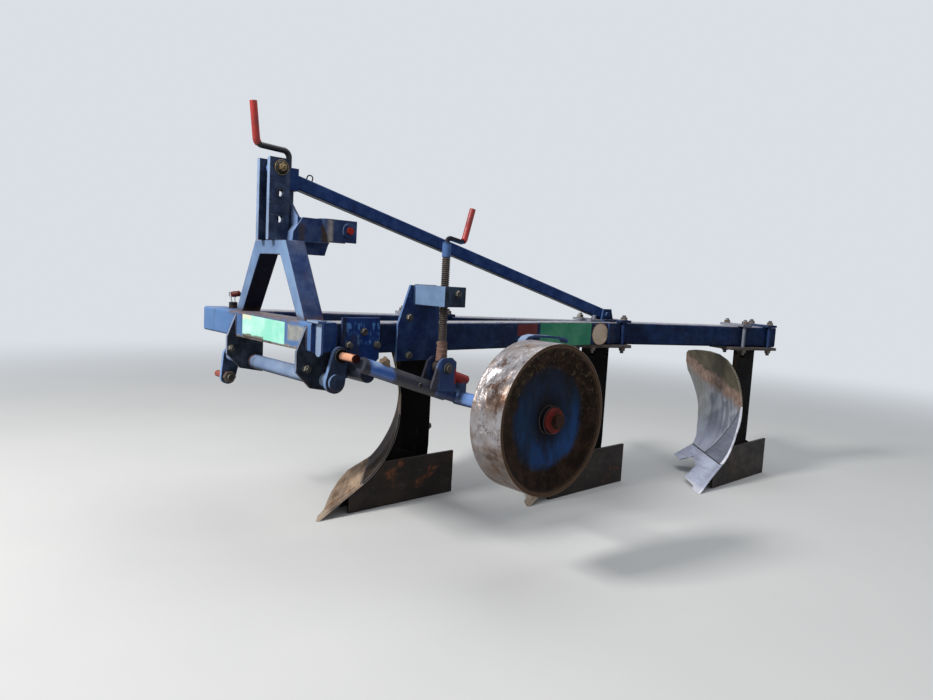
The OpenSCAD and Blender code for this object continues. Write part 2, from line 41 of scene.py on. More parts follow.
# step from one body to the next
PITCH = (858.0, 345.0)
# angle of the main beam, and a point of its centre line
DIAG, BEAM_AXIS = math.radians(21.905), (-26, -65)
# share tip of the first body, and the directions along the share edge and back from it
TIP = (483.0, 64.0)
SHARE_TURN = math.radians(143)
EDGE = (-math.sin(SHARE_TURN), math.cos(SHARE_TURN))
INTO = (math.cos(SHARE_TURN), math.sin(SHARE_TURN))
# working surface: slope of the share's flat, its height, slope where the arcs meet, and their radii
SHARE_SLOPE, SHARE_Z, MID_SLOPE = math.radians(36), 122.0, math.radians(85)
LOW_R, HIGH_R = 340.0, 600.0
# bolts and joints on it, as (along the share edge, height), and the landside's bolts as (x, z)
PLOUGH_BOLTS = {"share": ((205, 78), (385, 88)), "shin": ((196, 158), (262, 262)),
                "mouldboard": ((352, 196), (330, 330), (318, 470), (560, 230))}
SHARE_JOINT = ((114, 119), (240, 124.2), (332, 128), (420, 131.6), (506, 135.2))
SHIN_JOINT = ((331, 130), (327, 156), (323, 180.5), (313, 224), (301, 271), (283, 309), (263, 346),
              (249, 374), (235, 401))
LANDSIDE_BOLTS = ((-170, 70), (-40, 120), (60, 70))
# clamps: middle of the first one, its bolts from there, top of the top plates and foot of the foot plates
CLAMP_X, CLAMP_BOLT, M18 = -103.0, (85, 68), 0.018
CLAMP_TOP, FOOT_LOW = 827, 690
# beams' top and underside, tower's top, long beam's left face, plates' face there, crossbeam's front face
BEAM_TOP, BEAM_FOOT, TOWER_TOP = 815, 705, 1090
LEFT_FACE, PLATE_FACE, CROSS_FACE = 380, 390, 715
# outer face of the headstock's plates and thickness of a hanger
HEAD_FACE, HANGER_T = 50, 12
# depth screw (x, y), wheel's middle (x, y, z), ear pin of the wheel arm, strut bolt and round sign (x, z)
SCREW, WHEEL_MID = (250, 505), (165, 917, 545)
EAR_PIN, STRUT_BOLT, SIGN = (248, 662), (665, 1352), (-862, 757)
UP, DOWN, LEFT, RIGHT = (0, 0, 1), (0, 0, -1), (0, 1, 0), (0, -1, 0)
FRONT, REAR = (1, 0, 0), (-1, 0, 0)


def place(x, y, z):
    """Point of the plough's frame in metres of the row frame."""
    return Vector(((x + DATUM[0]) / 1000, (y + DATUM[1]) / 1000, (z + DATUM[2]) / 1000))


def srgb(*c):
    return tuple(v / 12.92 if v <= 0.04045 else ((v + 0.055) / 1.055) ** 2.4
                 for v in (x / 255 for x in c)) + (1.0,)


# camera, world, floor and lights
CAMERA_AT = (2.536, 2.170, 0.984)
# degrees: heading, tilt and roll
CAMERA_TURN = (-132.801, -5.747, 3.095)
LENS, SENSOR = 26.902, 36.0
BACK = srgb(218, 223, 229)
SKY_COLOUR, SKY_LIGHT = (0.78, 0.84, 0.92, 1), 0.40
FLOOR_HALF = 60
# the floor's own colour turns into the background between these distances from the middle
FADE_FROM, FADE_TO = 2.4, 7.5
# lamps: name, place, aim, size, watts, colour
LAMPS = (("key", (5.25, -0.8, 4.4), (0.2, 0, 0.6), 1.2, 390, (1.0, 0.975, 0.94)),
         ("top", (-0.8, 0.2, 5.5), (-0.2, 0, 0.4), 4.5, 150, (1, 1, 1)),
         ("left", (2.2, 5.4, 2.4), (0.2, 0.2, 0.6), 3.0, 20, (0.93, 0.96, 1.0)))


def make_camera():
    yaw, pitch, roll = (math.radians(a) for a in CAMERA_TURN)
    d = Vector((math.cos(pitch) * math.cos(yaw), math.cos(pitch) * math.sin(yaw), math.sin(pitch)))
    right = d.cross(Vector((0, 0, 1))).normalized()
    up = right.cross(d)
    rolled_right = math.cos(roll) * right + math.sin(roll) * up
    rolled_up = -math.sin(roll) * right + math.cos(roll) * up
    m = Matrix((rolled_right, rolled_up, -d)).transposed().to_4x4()
    m.translation = Vector(CAMERA_AT)
    data = bpy.data.cameras.new("camera")
    data.lens, data.sensor_width = LENS, SENSOR
    data.dof.use_dof = False
    data.clip_start, data.clip_end = 0.05, 200
    cam = bpy.data.objects.new("camera", data)
    cam.matrix_world = m
    bpy.context.scene.collection.objects.link(cam)
    bpy.context.scene.camera = cam


def area_light(name, loc, aim, size, power, colour):
    data = bpy.data.lights.new(name, "AREA")
    data.shape, data.size, data.energy, data.color = "SQUARE", size, power, colour
    ob = bpy.data.objects.new(name, data)
    ob.location = loc
    ob.rotation_euler = (Vector(aim) - Vector(loc)).to_track_quat("-Z", "Y").to_euler()
    bpy.context.scene.collection.objects.link(ob)


class Nodes:
    """Small helper for writing node trees."""

    def __init__(self, name, world=None):
        self.mat = world or bpy.data.materials.new(name)
        self.mat.use_nodes = True
        self.nt = self.mat.node_tree
        self.nt.nodes.clear()

    def new(self, kind, **props):
        n = self.nt.nodes.new(kind)
        for k, v in props.items():
            setattr(n, k, v)
        return n

    def put(self, socket, value):
        """Link a node's output, or set a plain value."""
        if isinstance(value, bpy.types.NodeSocket):
            self.nt.links.new(value, socket)
        else:
            socket.default_value = value

    def math(self, op, a, b=0.0):
        n = self.new("ShaderNodeMath", operation=op)
        self.put(n.inputs[0], a)
        self.put(n.inputs[1], b)
        return n.outputs[0]

    def add(self, a, b):
        return self.math("ADD", a, b)

    def sub(self, a, b):
        return self.math("SUBTRACT", a, b)

    def mul(self, a, b):
        return self.math("MULTIPLY", a, b)

    def either(self, a, b):
        return self.math("MAXIMUM", a, b)

    def vmath(self, op, a, b=(0, 0, 0), out=0):
        n = self.new("ShaderNodeVectorMath", operation=op)
        self.put(n.inputs[0], a)
        self.put(n.inputs[1], b)
        return n.outputs[out]

    def co(self, offset=(0, 0, 0), scale=(1, 1, 1), rot=(0, 0, 0)):
        """Object coordinates, moved, stretched and turned."""
        t = self.new("ShaderNodeTexCoord")
        m = self.new("ShaderNodeMapping")
        m.inputs["Location"].default_value = offset
        m.inputs["Rotation"].default_value = rot
        m.inputs["Scale"].default_value = scale
        self.nt.links.new(t.outputs["Object"], m.inputs["Vector"])
        return m.outputs[0]

    def noise(self, vec, scale, detail=4.0, rough=0.55, distort=0.0):
        n = self.new("ShaderNodeTexNoise")
        self.put(n.inputs["Vector"], vec)
        self.put(n.inputs["Scale"], scale)
        self.put(n.inputs["Detail"], detail)
        self.put(n.inputs["Roughness"], rough)
        self.put(n.inputs["Distortion"], distort)
        return n.outputs["Fac"]

    def map(self, v, a, b, c=0.0, d=1.0, smooth=True):
        """Map the range a to b onto c to d."""
        n = self.new("ShaderNodeMapRange")
        n.interpolation_type = "SMOOTHSTEP" if smooth else "LINEAR"
        self.put(n.inputs["Value"], v)
        for k, x in (("From Min", a), ("From Max", b), ("To Min", c), ("To Max", d)):
            self.put(n.inputs[k], x)
        return n.outputs["Result"]

    def mix(self, fac, a, b):
        n = self.new("ShaderNodeMix", data_type="RGBA", blend_type="MIX")
        n.clamp_factor = True
        self.put(n.inputs[0], fac)
        self.put(n.inputs[6], a)
        self.put(n.inputs[7], b)
        return n.outputs[2]

    def fmix(self, fac, a, b):
        n = self.new("ShaderNodeMix", data_type="FLOAT")
        self.put(n.inputs[0], fac)
        self.put(n.inputs[2], a)
        self.put(n.inputs[3], b)
        return n.outputs[0]

    def split(self, vec):
        n = self.new("ShaderNodeSeparateXYZ")
        self.put(n.inputs[0], vec)
        return n.outputs

    def normal(self):
        return self.new("ShaderNodeNewGeometry").outputs["Normal"]

    def edge(self, radius=0.004, hi=0.16):
        """Mask of the edges, and the rounded normal."""
        b = self.new("ShaderNodeBevel", samples=6)
        b.inputs["Radius"].default_value = radius
        dot = self.vmath("DOT_PRODUCT", b.outputs[0], self.normal(), out=1)
        return self.map(dot, 1.0, 1.0 - hi, 0.0, 1.0, smooth=False), b.outputs[0]

    def blend(self, fac, a, b, kind):
        """Output of the given kind that mixes two shaders."""
        m = self.new("ShaderNodeMixShader")
        self.put(m.inputs[0], fac)
        self.put(m.inputs[1], a.outputs[0])
        self.put(m.inputs[2], b.outputs[0])
        self.put(self.new(kind).inputs[0], m.outputs[0])

    def finish(self, colour, rough, metal, bump, strength, dist, normal=None, coat=0.0, spec=0.5):
        """Shader and output; bump is a height with its strength and distance."""
        b = self.new("ShaderNodeBsdfPrincipled")
        self.put(b.inputs["Base Color"], colour)
        self.put(b.inputs["Roughness"], rough)
        self.put(b.inputs["Metallic"], metal)
        b.inputs["Coat Weight"].default_value = coat
        b.inputs["Coat Roughness"].default_value = 0.25
        b.inputs["Specular IOR Level"].default_value = spec
        k = self.new("ShaderNodeBump")
        k.inputs["Strength"].default_value = strength
        k.inputs["Distance"].default_value = dist
        self.put(k.inputs["Height"], bump)
        if normal is not None:
            self.put(k.inputs["Normal"], normal)
        self.put(b.inputs["Normal"], k.outputs[0])
        self.put(self.new("ShaderNodeOutputMaterial").inputs[0], b.outputs[0])
        return self.mat


def backdrop_rays(t):
    """1 for the rays that see the pale background instead of the lit scene."""
    lp = t.new("ShaderNodeLightPath")
    seen = t.either(lp.outputs["Is Glossy Ray"], lp.outputs["Is Transmission Ray"])
    return t.either(lp.outputs["Is Camera Ray"], seen)


def make_world():
    w = bpy.data.worlds.new("world")
    bpy.context.scene.world = w
    t = Nodes("", w)
    light = t.new("ShaderNodeBackground")
    light.inputs["Color"].default_value = SKY_COLOUR
    light.inputs["Strength"].default_value = SKY_LIGHT
    back = t.new("ShaderNodeBackground")
    back.inputs["Color"].default_value = BACK
    back.inputs["Strength"].default_value = 1.0
    t.blend(backdrop_rays(t), light, back, "ShaderNodeOutputWorld")


def make_floor():
    me = bpy.data.meshes.new("floor")
    s = FLOOR_HALF
    me.from_pydata([(-s, -s, 0), (s, -s, 0), (s, s, 0), (-s, s, 0)], [], [(0, 1, 2, 3)])
    ob = bpy.data.objects.new("floor", me)
    bpy.context.scene.collection.objects.link(ob)
    t = Nodes("floor")
    v = t.co()
    d = t.new("ShaderNodeBsdfDiffuse")
    t.put(d.inputs[0], t.mix(t.noise(v, 1.3, 5), srgb(186, 187, 187), srgb(196, 196, 195)))
    e = t.new("ShaderNodeEmission")
    e.inputs["Color"].default_value = BACK
    far_off = t.map(t.vmath("LENGTH", v, out=1), FADE_FROM, FADE_TO)
    t.blend(t.mul(backdrop_rays(t), far_off), d, e, "ShaderNodeOutputMaterial")
    me.materials.append(t.mat)


# material functions
RUST = (srgb(58, 36, 26), srgb(112, 66, 42))
FAR = 1e6
# a limit further out than this, in metres, is an open side
OPEN = 50


def rust_colour(t, v):
    n = t.noise(v, 34, 6, 0.7)
    c = t.mix(t.map(n, 0.35, 0.68), RUST[0], RUST[1])
    return t.mix(t.map(t.noise(v, 6, 3), 0.5, 0.75, 0, 0.5), c, srgb(134, 92, 64))


def box(x0=-FAR, x1=FAR, y0=-FAR, y1=FAR, z0=-FAR, z1=FAR):
    """Box in the plough's millimetres, open where no limit is given."""
    return (x0, y0, z0), (x1, y1, z1)


def zone(t, where, soft=0.012, wobble=0.02):
    """Mask of a box with a soft, ragged border."""
    lo, hi = (place(*corner) for corner in where)
    ragged = t.mul(t.sub(t.noise(t.co(), 22, 6, 0.7), 0.5), wobble * 2)
    xyz = t.split(t.co())
    mask = None
    for k in range(3):
        for limit, sign in ((lo[k], 1.0), (hi[k], -1.0)):
            if abs(limit) > OPEN:
                continue
            inside = t.add(t.mul(t.sub(xyz[k], limit), sign), ragged)
            side = t.map(inside, -soft, soft)
            mask = side if mask is None else t.mul(mask, side)
    return mask


def paint(name, base, second_tone, chips=0.5, edge=0.6, dust=0.35, rough=0.36, scratch=0.4, seed=0.0, bare=None,
          coat=0.0, shade_and_grime=0.5, zones=(), spec=0.06, top=0.0, outline=None, scuffs=None):
    """Farm machine enamel with painted light: its second colour on faces toward the key light, front and
    top, its first on the others, which also darken with grime and painted shade; chipped to rust on its
    edges.

    Each of zones is (box, colour, strength), with a border's softness and raggedness if it needs them."""
    t = Nodes(name)
    v = t.co((seed, seed * 1.7, -seed))
    facing = t.split(t.normal())
    # 1 where a face looks to the front, up or to the right, toward the key light: painted light and shade
    lit = t.add(t.mul(facing[0], 0.75), t.mul(facing[2], 0.45))
    lit = t.add(lit, t.mul(facing[1], -0.35))
    lit = t.map(lit, 0.05, 0.75, 0.08, 0.92)
    patchy = t.noise(v, 2.6, 5, 0.6)
    col = t.mix(t.mul(lit, t.map(patchy, 0.28, 0.6, 0.45, 1.0)), base, second_tone)
    col = t.mix(t.map(t.noise(v, 26, 4, 0.6), 0.3, 0.75, 0.0, 0.2), col, second_tone)
    # painted shade with grime: faces turned from the key light darken in noisy patches
    dark = t.mul(t.map(lit, 0.2, 0.8, 1.0, 0.25), t.map(t.noise(v, 5.5, 7, 0.7), 0.40, 0.66))
    col = t.mix(t.mul(dark, shade_and_grime), col, srgb(13, 13, 16))
    # painted shade: faces that look down go near black
    under = t.map(facing[2], -0.35, -0.85)
    col = t.mix(t.mul(under, 0.85), col, srgb(6, 8, 14))
    # dust and dried soil, most of it on faces that look up
    soil = t.mul(t.map(facing[2], 0.15, 0.9, 0.04, 1.0), t.map(t.noise(v, 7, 6, 0.68), 0.42, 0.72))
    col = t.mix(t.mul(soil, dust), col, srgb(142, 128, 110))
    # runs and smears
    run = t.noise(t.co((seed, 0, 0), (24, 24, 2.2)), 1.0, 4, 0.6)
    col = t.mix(t.map(run, 0.58, 0.80, 0.0, 0.5), col, srgb(20, 20, 26))
    # thin scratches in two directions
    flat = t.noise(t.co((seed, 3, 0), (5, 60, 230), (0.0, 0.25, 0.1)), 1.0, 2, 0.5)
    steep = t.noise(t.co((seed, 9, 0), (150, 40, 9), (0.3, 0.0, 0.5)), 1.0, 2, 0.5)
    lines = t.either(t.map(flat, 0.70, 0.76), t.map(steep, 0.71, 0.77))
    lines = t.mul(lines, t.map(t.noise(v, 3.1, 3), 0.45, 0.6))
    col = t.mix(t.mul(lines, scratch), col, srgb(120, 138, 172))
    if scuffs:
        # upright strokes where the top coat has come off
        where, c, k = scuffs
        stroke = t.map(t.noise(t.co((seed, 0, 0), (120, 120, 34)), 1.0, 4, 0.6), 0.50, 0.60)
        stroke = t.mul(stroke, t.map(t.noise(v, 16, 4), 0.38, 0.52))
        col = t.mix(t.mul(stroke, t.mul(zone(t, where, 0.006, 0.02), k)), col, c)
    edges, rounded = t.edge(0.0045)
    uneven = t.add(t.noise(v, 21, 8, 0.72), t.mul(t.noise(v, 1.9, 3, 0.5), 0.30))
    chip = t.map(t.add(t.mul(edges, 0.34 * edge), uneven), 0.93 - 0.10 * chips, 0.965 - 0.10 * chips)
    rim = t.map(t.add(t.mul(edges, 0.42 * edge), t.noise(v, 60, 5, 0.7)), 0.70, 0.84)
    # worn edges, stronger on lit faces, with their colour set by the painted light: bare (pale unless
    # given) on faces in shade, outline (brown unless given) on lit ones; pale edges are painted edge
    # highlights
    edge_wear_and_highlight = t.mix(t.map(lit, 0.45, 0.75), bare or srgb(126, 142, 172), outline or srgb(84, 66, 56))
    col = t.mix(t.mul(rim, t.fmix(lit, 0.3, 0.75)), col, edge_wear_and_highlight)
    mottle = t.map(t.noise(v, 38, 6, 0.7), 0.38, 0.66, 0.0, 0.55)
    dull = chip
    for where, c, k, *border in zones:
        m = t.mul(zone(t, where, *border), k)
        darker = tuple(x * 0.42 for x in c[:3]) + (1.0,)
        col = t.mix(m, col, t.mix(mottle, c, darker))
        dull = t.either(dull, m)
    if top:
        # pale dust along the tops of the beams, partly a painted sheen of the sky on them
        m = t.mul(t.map(facing[2], 0.55, 0.9), t.map(t.noise(v, 18, 6, 0.7), 0.32, 0.52, 0.35, 1.0))
        col = t.mix(t.mul(m, top), col, srgb(142, 140, 146))
    col = t.mix(chip, col, rust_colour(t, v))
    r = t.fmix(dull, t.map(t.noise(v, 9, 4), 0.3, 0.7, rough - 0.06, rough + 0.14, smooth=False), 0.8)
    h = t.add(t.mul(t.noise(v, 150, 3, 0.6), 0.12), t.mul(chip, -0.6))
    h = t.add(h, t.mul(t.noise(v, 14, 3), 0.25))
    return t.finish(col, r, 0.0, h, 0.35, 0.0012, rounded, coat, spec)


def steel(name, base, dark, rust=0.4, rough=0.36, seed=0.0, metal=0.85, flow=(1, 1, 1), pits=0.4,
          shine=None, pit_scale=95.0, body=None, wear=None, spec=0.5):
    """Bare metal or soil with streaks along flow, pits, bright edges and patches of rust."""
    t = Nodes(name)
    v = t.co((seed, seed * 1.3, -seed))
    col = t.mix(t.map(t.noise(v, 5, 5, 0.6), 0.32, 0.7), base, dark)
    line = t.noise(t.co((seed, 0, 0), flow), 1.0, 4, 0.62)
    col = t.mix(t.map(line, 0.35, 0.72, 0, 0.5), col, dark)
    edges, rounded = t.edge(0.004)
    col = t.mix(t.mul(edges, 0.65), col, shine or srgb(190, 190, 198))
    if wear is not None:
        along, z = surface_coords(t, body)
        worn = srgb(214, 214, 222) if metal > 0.3 else srgb(150, 136, 120)
        col = t.mix(wear(t, along, z), col, worn)
    pit = t.map(t.noise(v, pit_scale, 4, 0.7), 0.62, 0.70)
    col = t.mix(t.mul(pit, pits), col, srgb(44, 40, 46))
    uneven = t.add(t.noise(v, 9, 7, 0.7), t.mul(t.noise(v, 2.1, 3), 0.5))
    rusted = t.map(uneven, 1.02 - 0.3 * rust, 1.10 - 0.3 * rust)
    col = t.mix(rusted, col, rust_colour(t, v))
    r = t.fmix(rusted, t.map(line, 0.3, 0.75, rough - 0.08, rough + 0.16, smooth=False), 0.82)
    metallic = t.fmix(rusted, metal, 0.0) if metal else 0.0
    h = t.add(t.mul(line, 0.35), t.add(t.mul(rusted, 0.5), t.mul(pit, -0.4)))
    return t.finish(col, r, metallic, h, 0.3, 0.001, rounded, spec=spec)


def body_tip(i):
    """Share tip of body i."""
    return place(TIP[0] - PITCH[0] * i, TIP[1] + PITCH[1] * i, 0)


def surface_coords(t, i):
    """Distance along body i's share edge from its tip, and height."""
    tip = body_tip(i)
    xyz = t.split(t.co((-tip[0], -tip[1], 0)))
    return t.add(t.mul(xyz[0], EDGE[0]), t.mul(xyz[1], EDGE[1])), xyz[2]


def share_wear(t, along, z):
    """Worn cutting edge, along the foot of the share."""
    ragged = t.mul(t.sub(t.noise(t.co(), 14, 4), 0.5), 0.03)
    return t.map(t.add(z, ragged), 0.034, 0.014, 0.0, 0.8)


def shin_wear(t, along, z):
    """Bright worn leading edge, along the curve of the shin's outline."""
    k = t.mul(t.sub(0.40, z), 1 / 0.28)
    curve = t.sub(0.234, t.mul(t.mul(k, k), 0.119))
    return t.map(t.sub(along, curve), 0.010, 0.004, 0.0, 0.95)


def board(name, i):
    """Mouldboard: polished by soil below, with painted reflections and highlights on the polish, a rust
    band, dry olive soil above; on the front bodies soil, rust and painted shade darken it.
    """
    t = Nodes(name)
    tip = body_tip(i)
    along, z = surface_coords(t, i)
    v = t.co((-tip[0] + i * 3.1, -tip[1], i * 1.3))
    # height of the bands, rising towards the wing
    q = t.sub(z, t.mul(t.sub(along, 0.6), 0.22))
    q = t.add(q, t.mul(t.sub(t.noise(v, 7, 6, 0.65, 0.6), 0.5), 0.14))
    # streaks run up the board and lean back with the furrow slice
    comb = t.new("ShaderNodeCombineXYZ")
    t.put(comb.inputs[0], t.sub(along, t.mul(z, 0.42)))
    t.put(comb.inputs[1], t.mul(z, 0.07))
    flow = t.noise(comb.outputs[0], 30, 5, 0.62)
    bright = t.mix(t.map(flow, 0.35, 0.68), srgb(150, 154, 164), srgb(104, 107, 116))
    # painted reflections, dark blue-grey patches, and painted highlights, pale patches, on the polish
    bright = t.mix(t.map(t.noise(v, 5.5, 4, 0.5), 0.50, 0.66, 0, 0.75), bright, srgb(66, 72, 92))
    bright = t.mix(t.map(t.noise(v, 7.5, 3, 0.5), 0.56, 0.70, 0, 0.5), bright, srgb(190, 192, 202))
    # dull and browner towards the wing, lavender low down
    bright = t.mix(t.map(along, 0.45, 0.75, 0, 0.6), bright, srgb(118, 114, 102))
    bright = t.mix(t.map(z, 0.30, 0.16, 0, 0.6), bright, srgb(158, 162, 180))
    rusty = t.mix(t.map(t.noise(v, 22, 6, 0.7), 0.35, 0.7), srgb(104, 82, 70), srgb(146, 124, 112))
    olive = t.mix(t.map(t.noise(v, 12, 5, 0.6), 0.35, 0.7), srgb(56, 51, 38), srgb(86, 78, 58))
    # front bodies: darkened by soil and rust, with painted shade
    if i < LAST:
        soil_and_shade = t.mix(t.map(flow, 0.35, 0.68), srgb(72, 60, 52), srgb(38, 31, 27))
        bright = t.mix(0.9, bright, soil_and_shade)
        rusty = t.mix(0.6, rusty, soil_and_shade)
    matt = t.map(q, 0.43, 0.485)
    col = t.mix(matt, bright, rusty)
    col = t.mix(t.map(q, 0.535, 0.555), col, olive)
    edges, rounded = t.edge(0.004)
    col = t.mix(t.mul(edges, 0.6), col, srgb(186, 182, 178))
    spot = t.map(t.noise(v, 30, 6, 0.75), 0.64, 0.70)
    col = t.mix(t.mul(spot, 0.6), col, srgb(84, 58, 44))
    # the back is dull and dark
    facing = t.split(t.normal())
    back = t.map(t.add(t.mul(facing[0], -0.8), t.mul(facing[1], 0.6)), 0.1, 0.35)
    back_colour = t.mix(t.map(t.noise(v, 10, 6, 0.7), 0.4, 0.68), srgb(44, 38, 34), srgb(82, 58, 44))
    col = t.mix(back, col, back_colour)
    h = t.add(t.mul(flow, 0.3), t.mul(t.noise(v, 60, 4), 0.2))
    if i < LAST:
        return t.finish(col, 0.8, 0.0, h, 0.25, 0.0012, rounded, spec=0.04)
    matt = t.either(matt, back)
    r = t.fmix(matt, t.map(flow, 0.3, 0.7, 0.30, 0.48, smooth=False), 0.8)
    return t.finish(col, r, t.fmix(matt, 0.75, 0.0), h, 0.25, 0.0012, rounded)


def wheel_mat(name):
    """Blue disc under soot and dirt, dark rim, beaten bright tread."""
    t = Nodes(name)
    middle = tuple(-x for x in place(*WHEEL_MID))
    v = t.co(middle)
    xyz = t.split(v)
    rad = t.math("SQRT", t.add(t.mul(xyz[0], xyz[0]), t.mul(xyz[2], xyz[2])))
    n = t.noise(v, 11, 7, 0.7)
    blue = t.mix(t.map(t.noise(v, 4, 5), 0.35, 0.68), srgb(26, 46, 72), srgb(32, 60, 104))
    soot = t.noise(t.co(middle, (14, 14, 5)), 1.0, 7, 0.72)
    blue = t.mix(t.map(soot, 0.42, 0.64, 0, 0.75), blue, srgb(24, 27, 30))
    # the upper middle is sooty, the lower part and the right bluer
    high = t.map(t.add(xyz[2], t.mul(n, 0.1)), 0.05, 0.19, 0, 0.75)
    blue = t.mix(high, blue, srgb(24, 22, 21))
    blue = t.mix(t.map(rad, 0.045, 0.12, 0.85, 0.0), blue, srgb(22, 18, 17))
    blue = t.mix(t.map(t.noise(v, 60, 6, 0.75), 0.58, 0.68, 0, 0.6), blue, srgb(60, 50, 42))
    rim = t.mix(t.map(t.noise(v, 16, 7, 0.75), 0.38, 0.66), srgb(22, 15, 12), srgb(46, 33, 25))
    # dry lichen-coloured specks on the upper part of the ring
    speck = t.mul(t.map(t.noise(v, 75, 6, 0.8), 0.52, 0.64), t.map(xyz[2], -0.05, 0.16, 0.15, 1.0))
    rim = t.mix(t.mul(speck, 0.55), rim, srgb(104, 94, 72))
    rim = t.mix(t.map(rad, 0.232, 0.243, 0, 0.5), rim, srgb(96, 74, 58))
    # beaten tread: silvery, pinkish and brown, with black cracks
    shade = t.noise(v, 9, 6, 0.68)
    tread = t.mix(t.map(shade, 0.36, 0.66), srgb(160, 158, 162), srgb(120, 104, 94))
    tread = t.mix(t.map(t.noise(v, 15, 7, 0.72), 0.50, 0.62, 0, 0.9), tread, srgb(78, 56, 44))
    tread = t.mix(t.map(t.noise(v, 34, 7, 0.78), 0.60, 0.68, 0, 0.9), tread, srgb(40, 30, 26))
    tread = t.mix(t.map(t.noise(v, 24, 5, 0.7), 0.62, 0.70, 0, 0.7), tread, srgb(200, 196, 194))
    tread = t.mix(t.map(xyz[2], -0.04, -0.17, 0, 0.75), tread, srgb(86, 66, 50))
    ragged = t.add(rad, t.mul(t.sub(n, 0.5), 0.07))
    col = t.mix(t.map(ragged, 0.150, 0.182), blue, rim)
    outside = t.map(rad, 0.2495, 0.2505)
    col = t.mix(outside, col, tread)
    inner = t.map(xyz[1], 0.028, 0.018)
    col = t.mix(t.mul(inner, t.sub(1.0, outside)), col, srgb(34, 28, 26))
    edges, rounded = t.edge(0.004)
    col = t.mix(t.mul(edges, 0.45), col, srgb(150, 130, 114))
    r = t.fmix(outside, t.map(n, 0.3, 0.7, 0.6, 0.85, smooth=False),
               t.map(shade, 0.3, 0.7, 0.26, 0.5, smooth=False))
    dent = t.add(t.noise(v, 10, 2, 0.4), t.mul(t.noise(v, 26, 3, 0.5), 0.22))
    h = t.add(t.mul(t.noise(v, 70, 5, 0.7), 0.02), t.mul(dent, outside))
    return t.finish(col, r, t.mul(outside, 0.7), h, 0.8, 0.045, rounded, spec=0.06)


def plastic(name, base, dark):
    """Faded sleeve of a crank."""
    t = Nodes(name)
    v = t.co()
    col = t.mix(t.map(t.noise(v, 12, 5, 0.6), 0.35, 0.7), base, dark)
    col = t.mix(t.map(t.noise(v, 55, 5, 0.7), 0.58, 0.7, 0, 0.5), col, srgb(120, 62, 50))
    _, rounded = t.edge(0.003)
    r = t.map(t.noise(v, 30, 4), 0.3, 0.7, 0.37, 0.60)
    return t.finish(col, r, 0.0, t.noise(v, 90, 3), 0.2, 0.0006, rounded)


def label(name, base, second_tone, seed, torn=0.60, zones=()):
    """Blank, weathered sticker."""
    t = Nodes(name)
    v = t.co((seed, 0, seed))
    col = t.mix(t.map(t.noise(v, 9, 5, 0.6), 0.35, 0.72), base, second_tone)
    col = t.mix(t.map(t.noise(v, 45, 6, 0.75), torn, torn + 0.08, 0, 0.75), col, srgb(72, 72, 74))
    for where, c, k, *border in zones:
        col = t.mix(t.mul(zone(t, where, *border), k), col, c)
    return t.finish(col, 0.5, 0.0, t.noise(v, 60, 3), 0.15, 0.0005, spec=0.2)


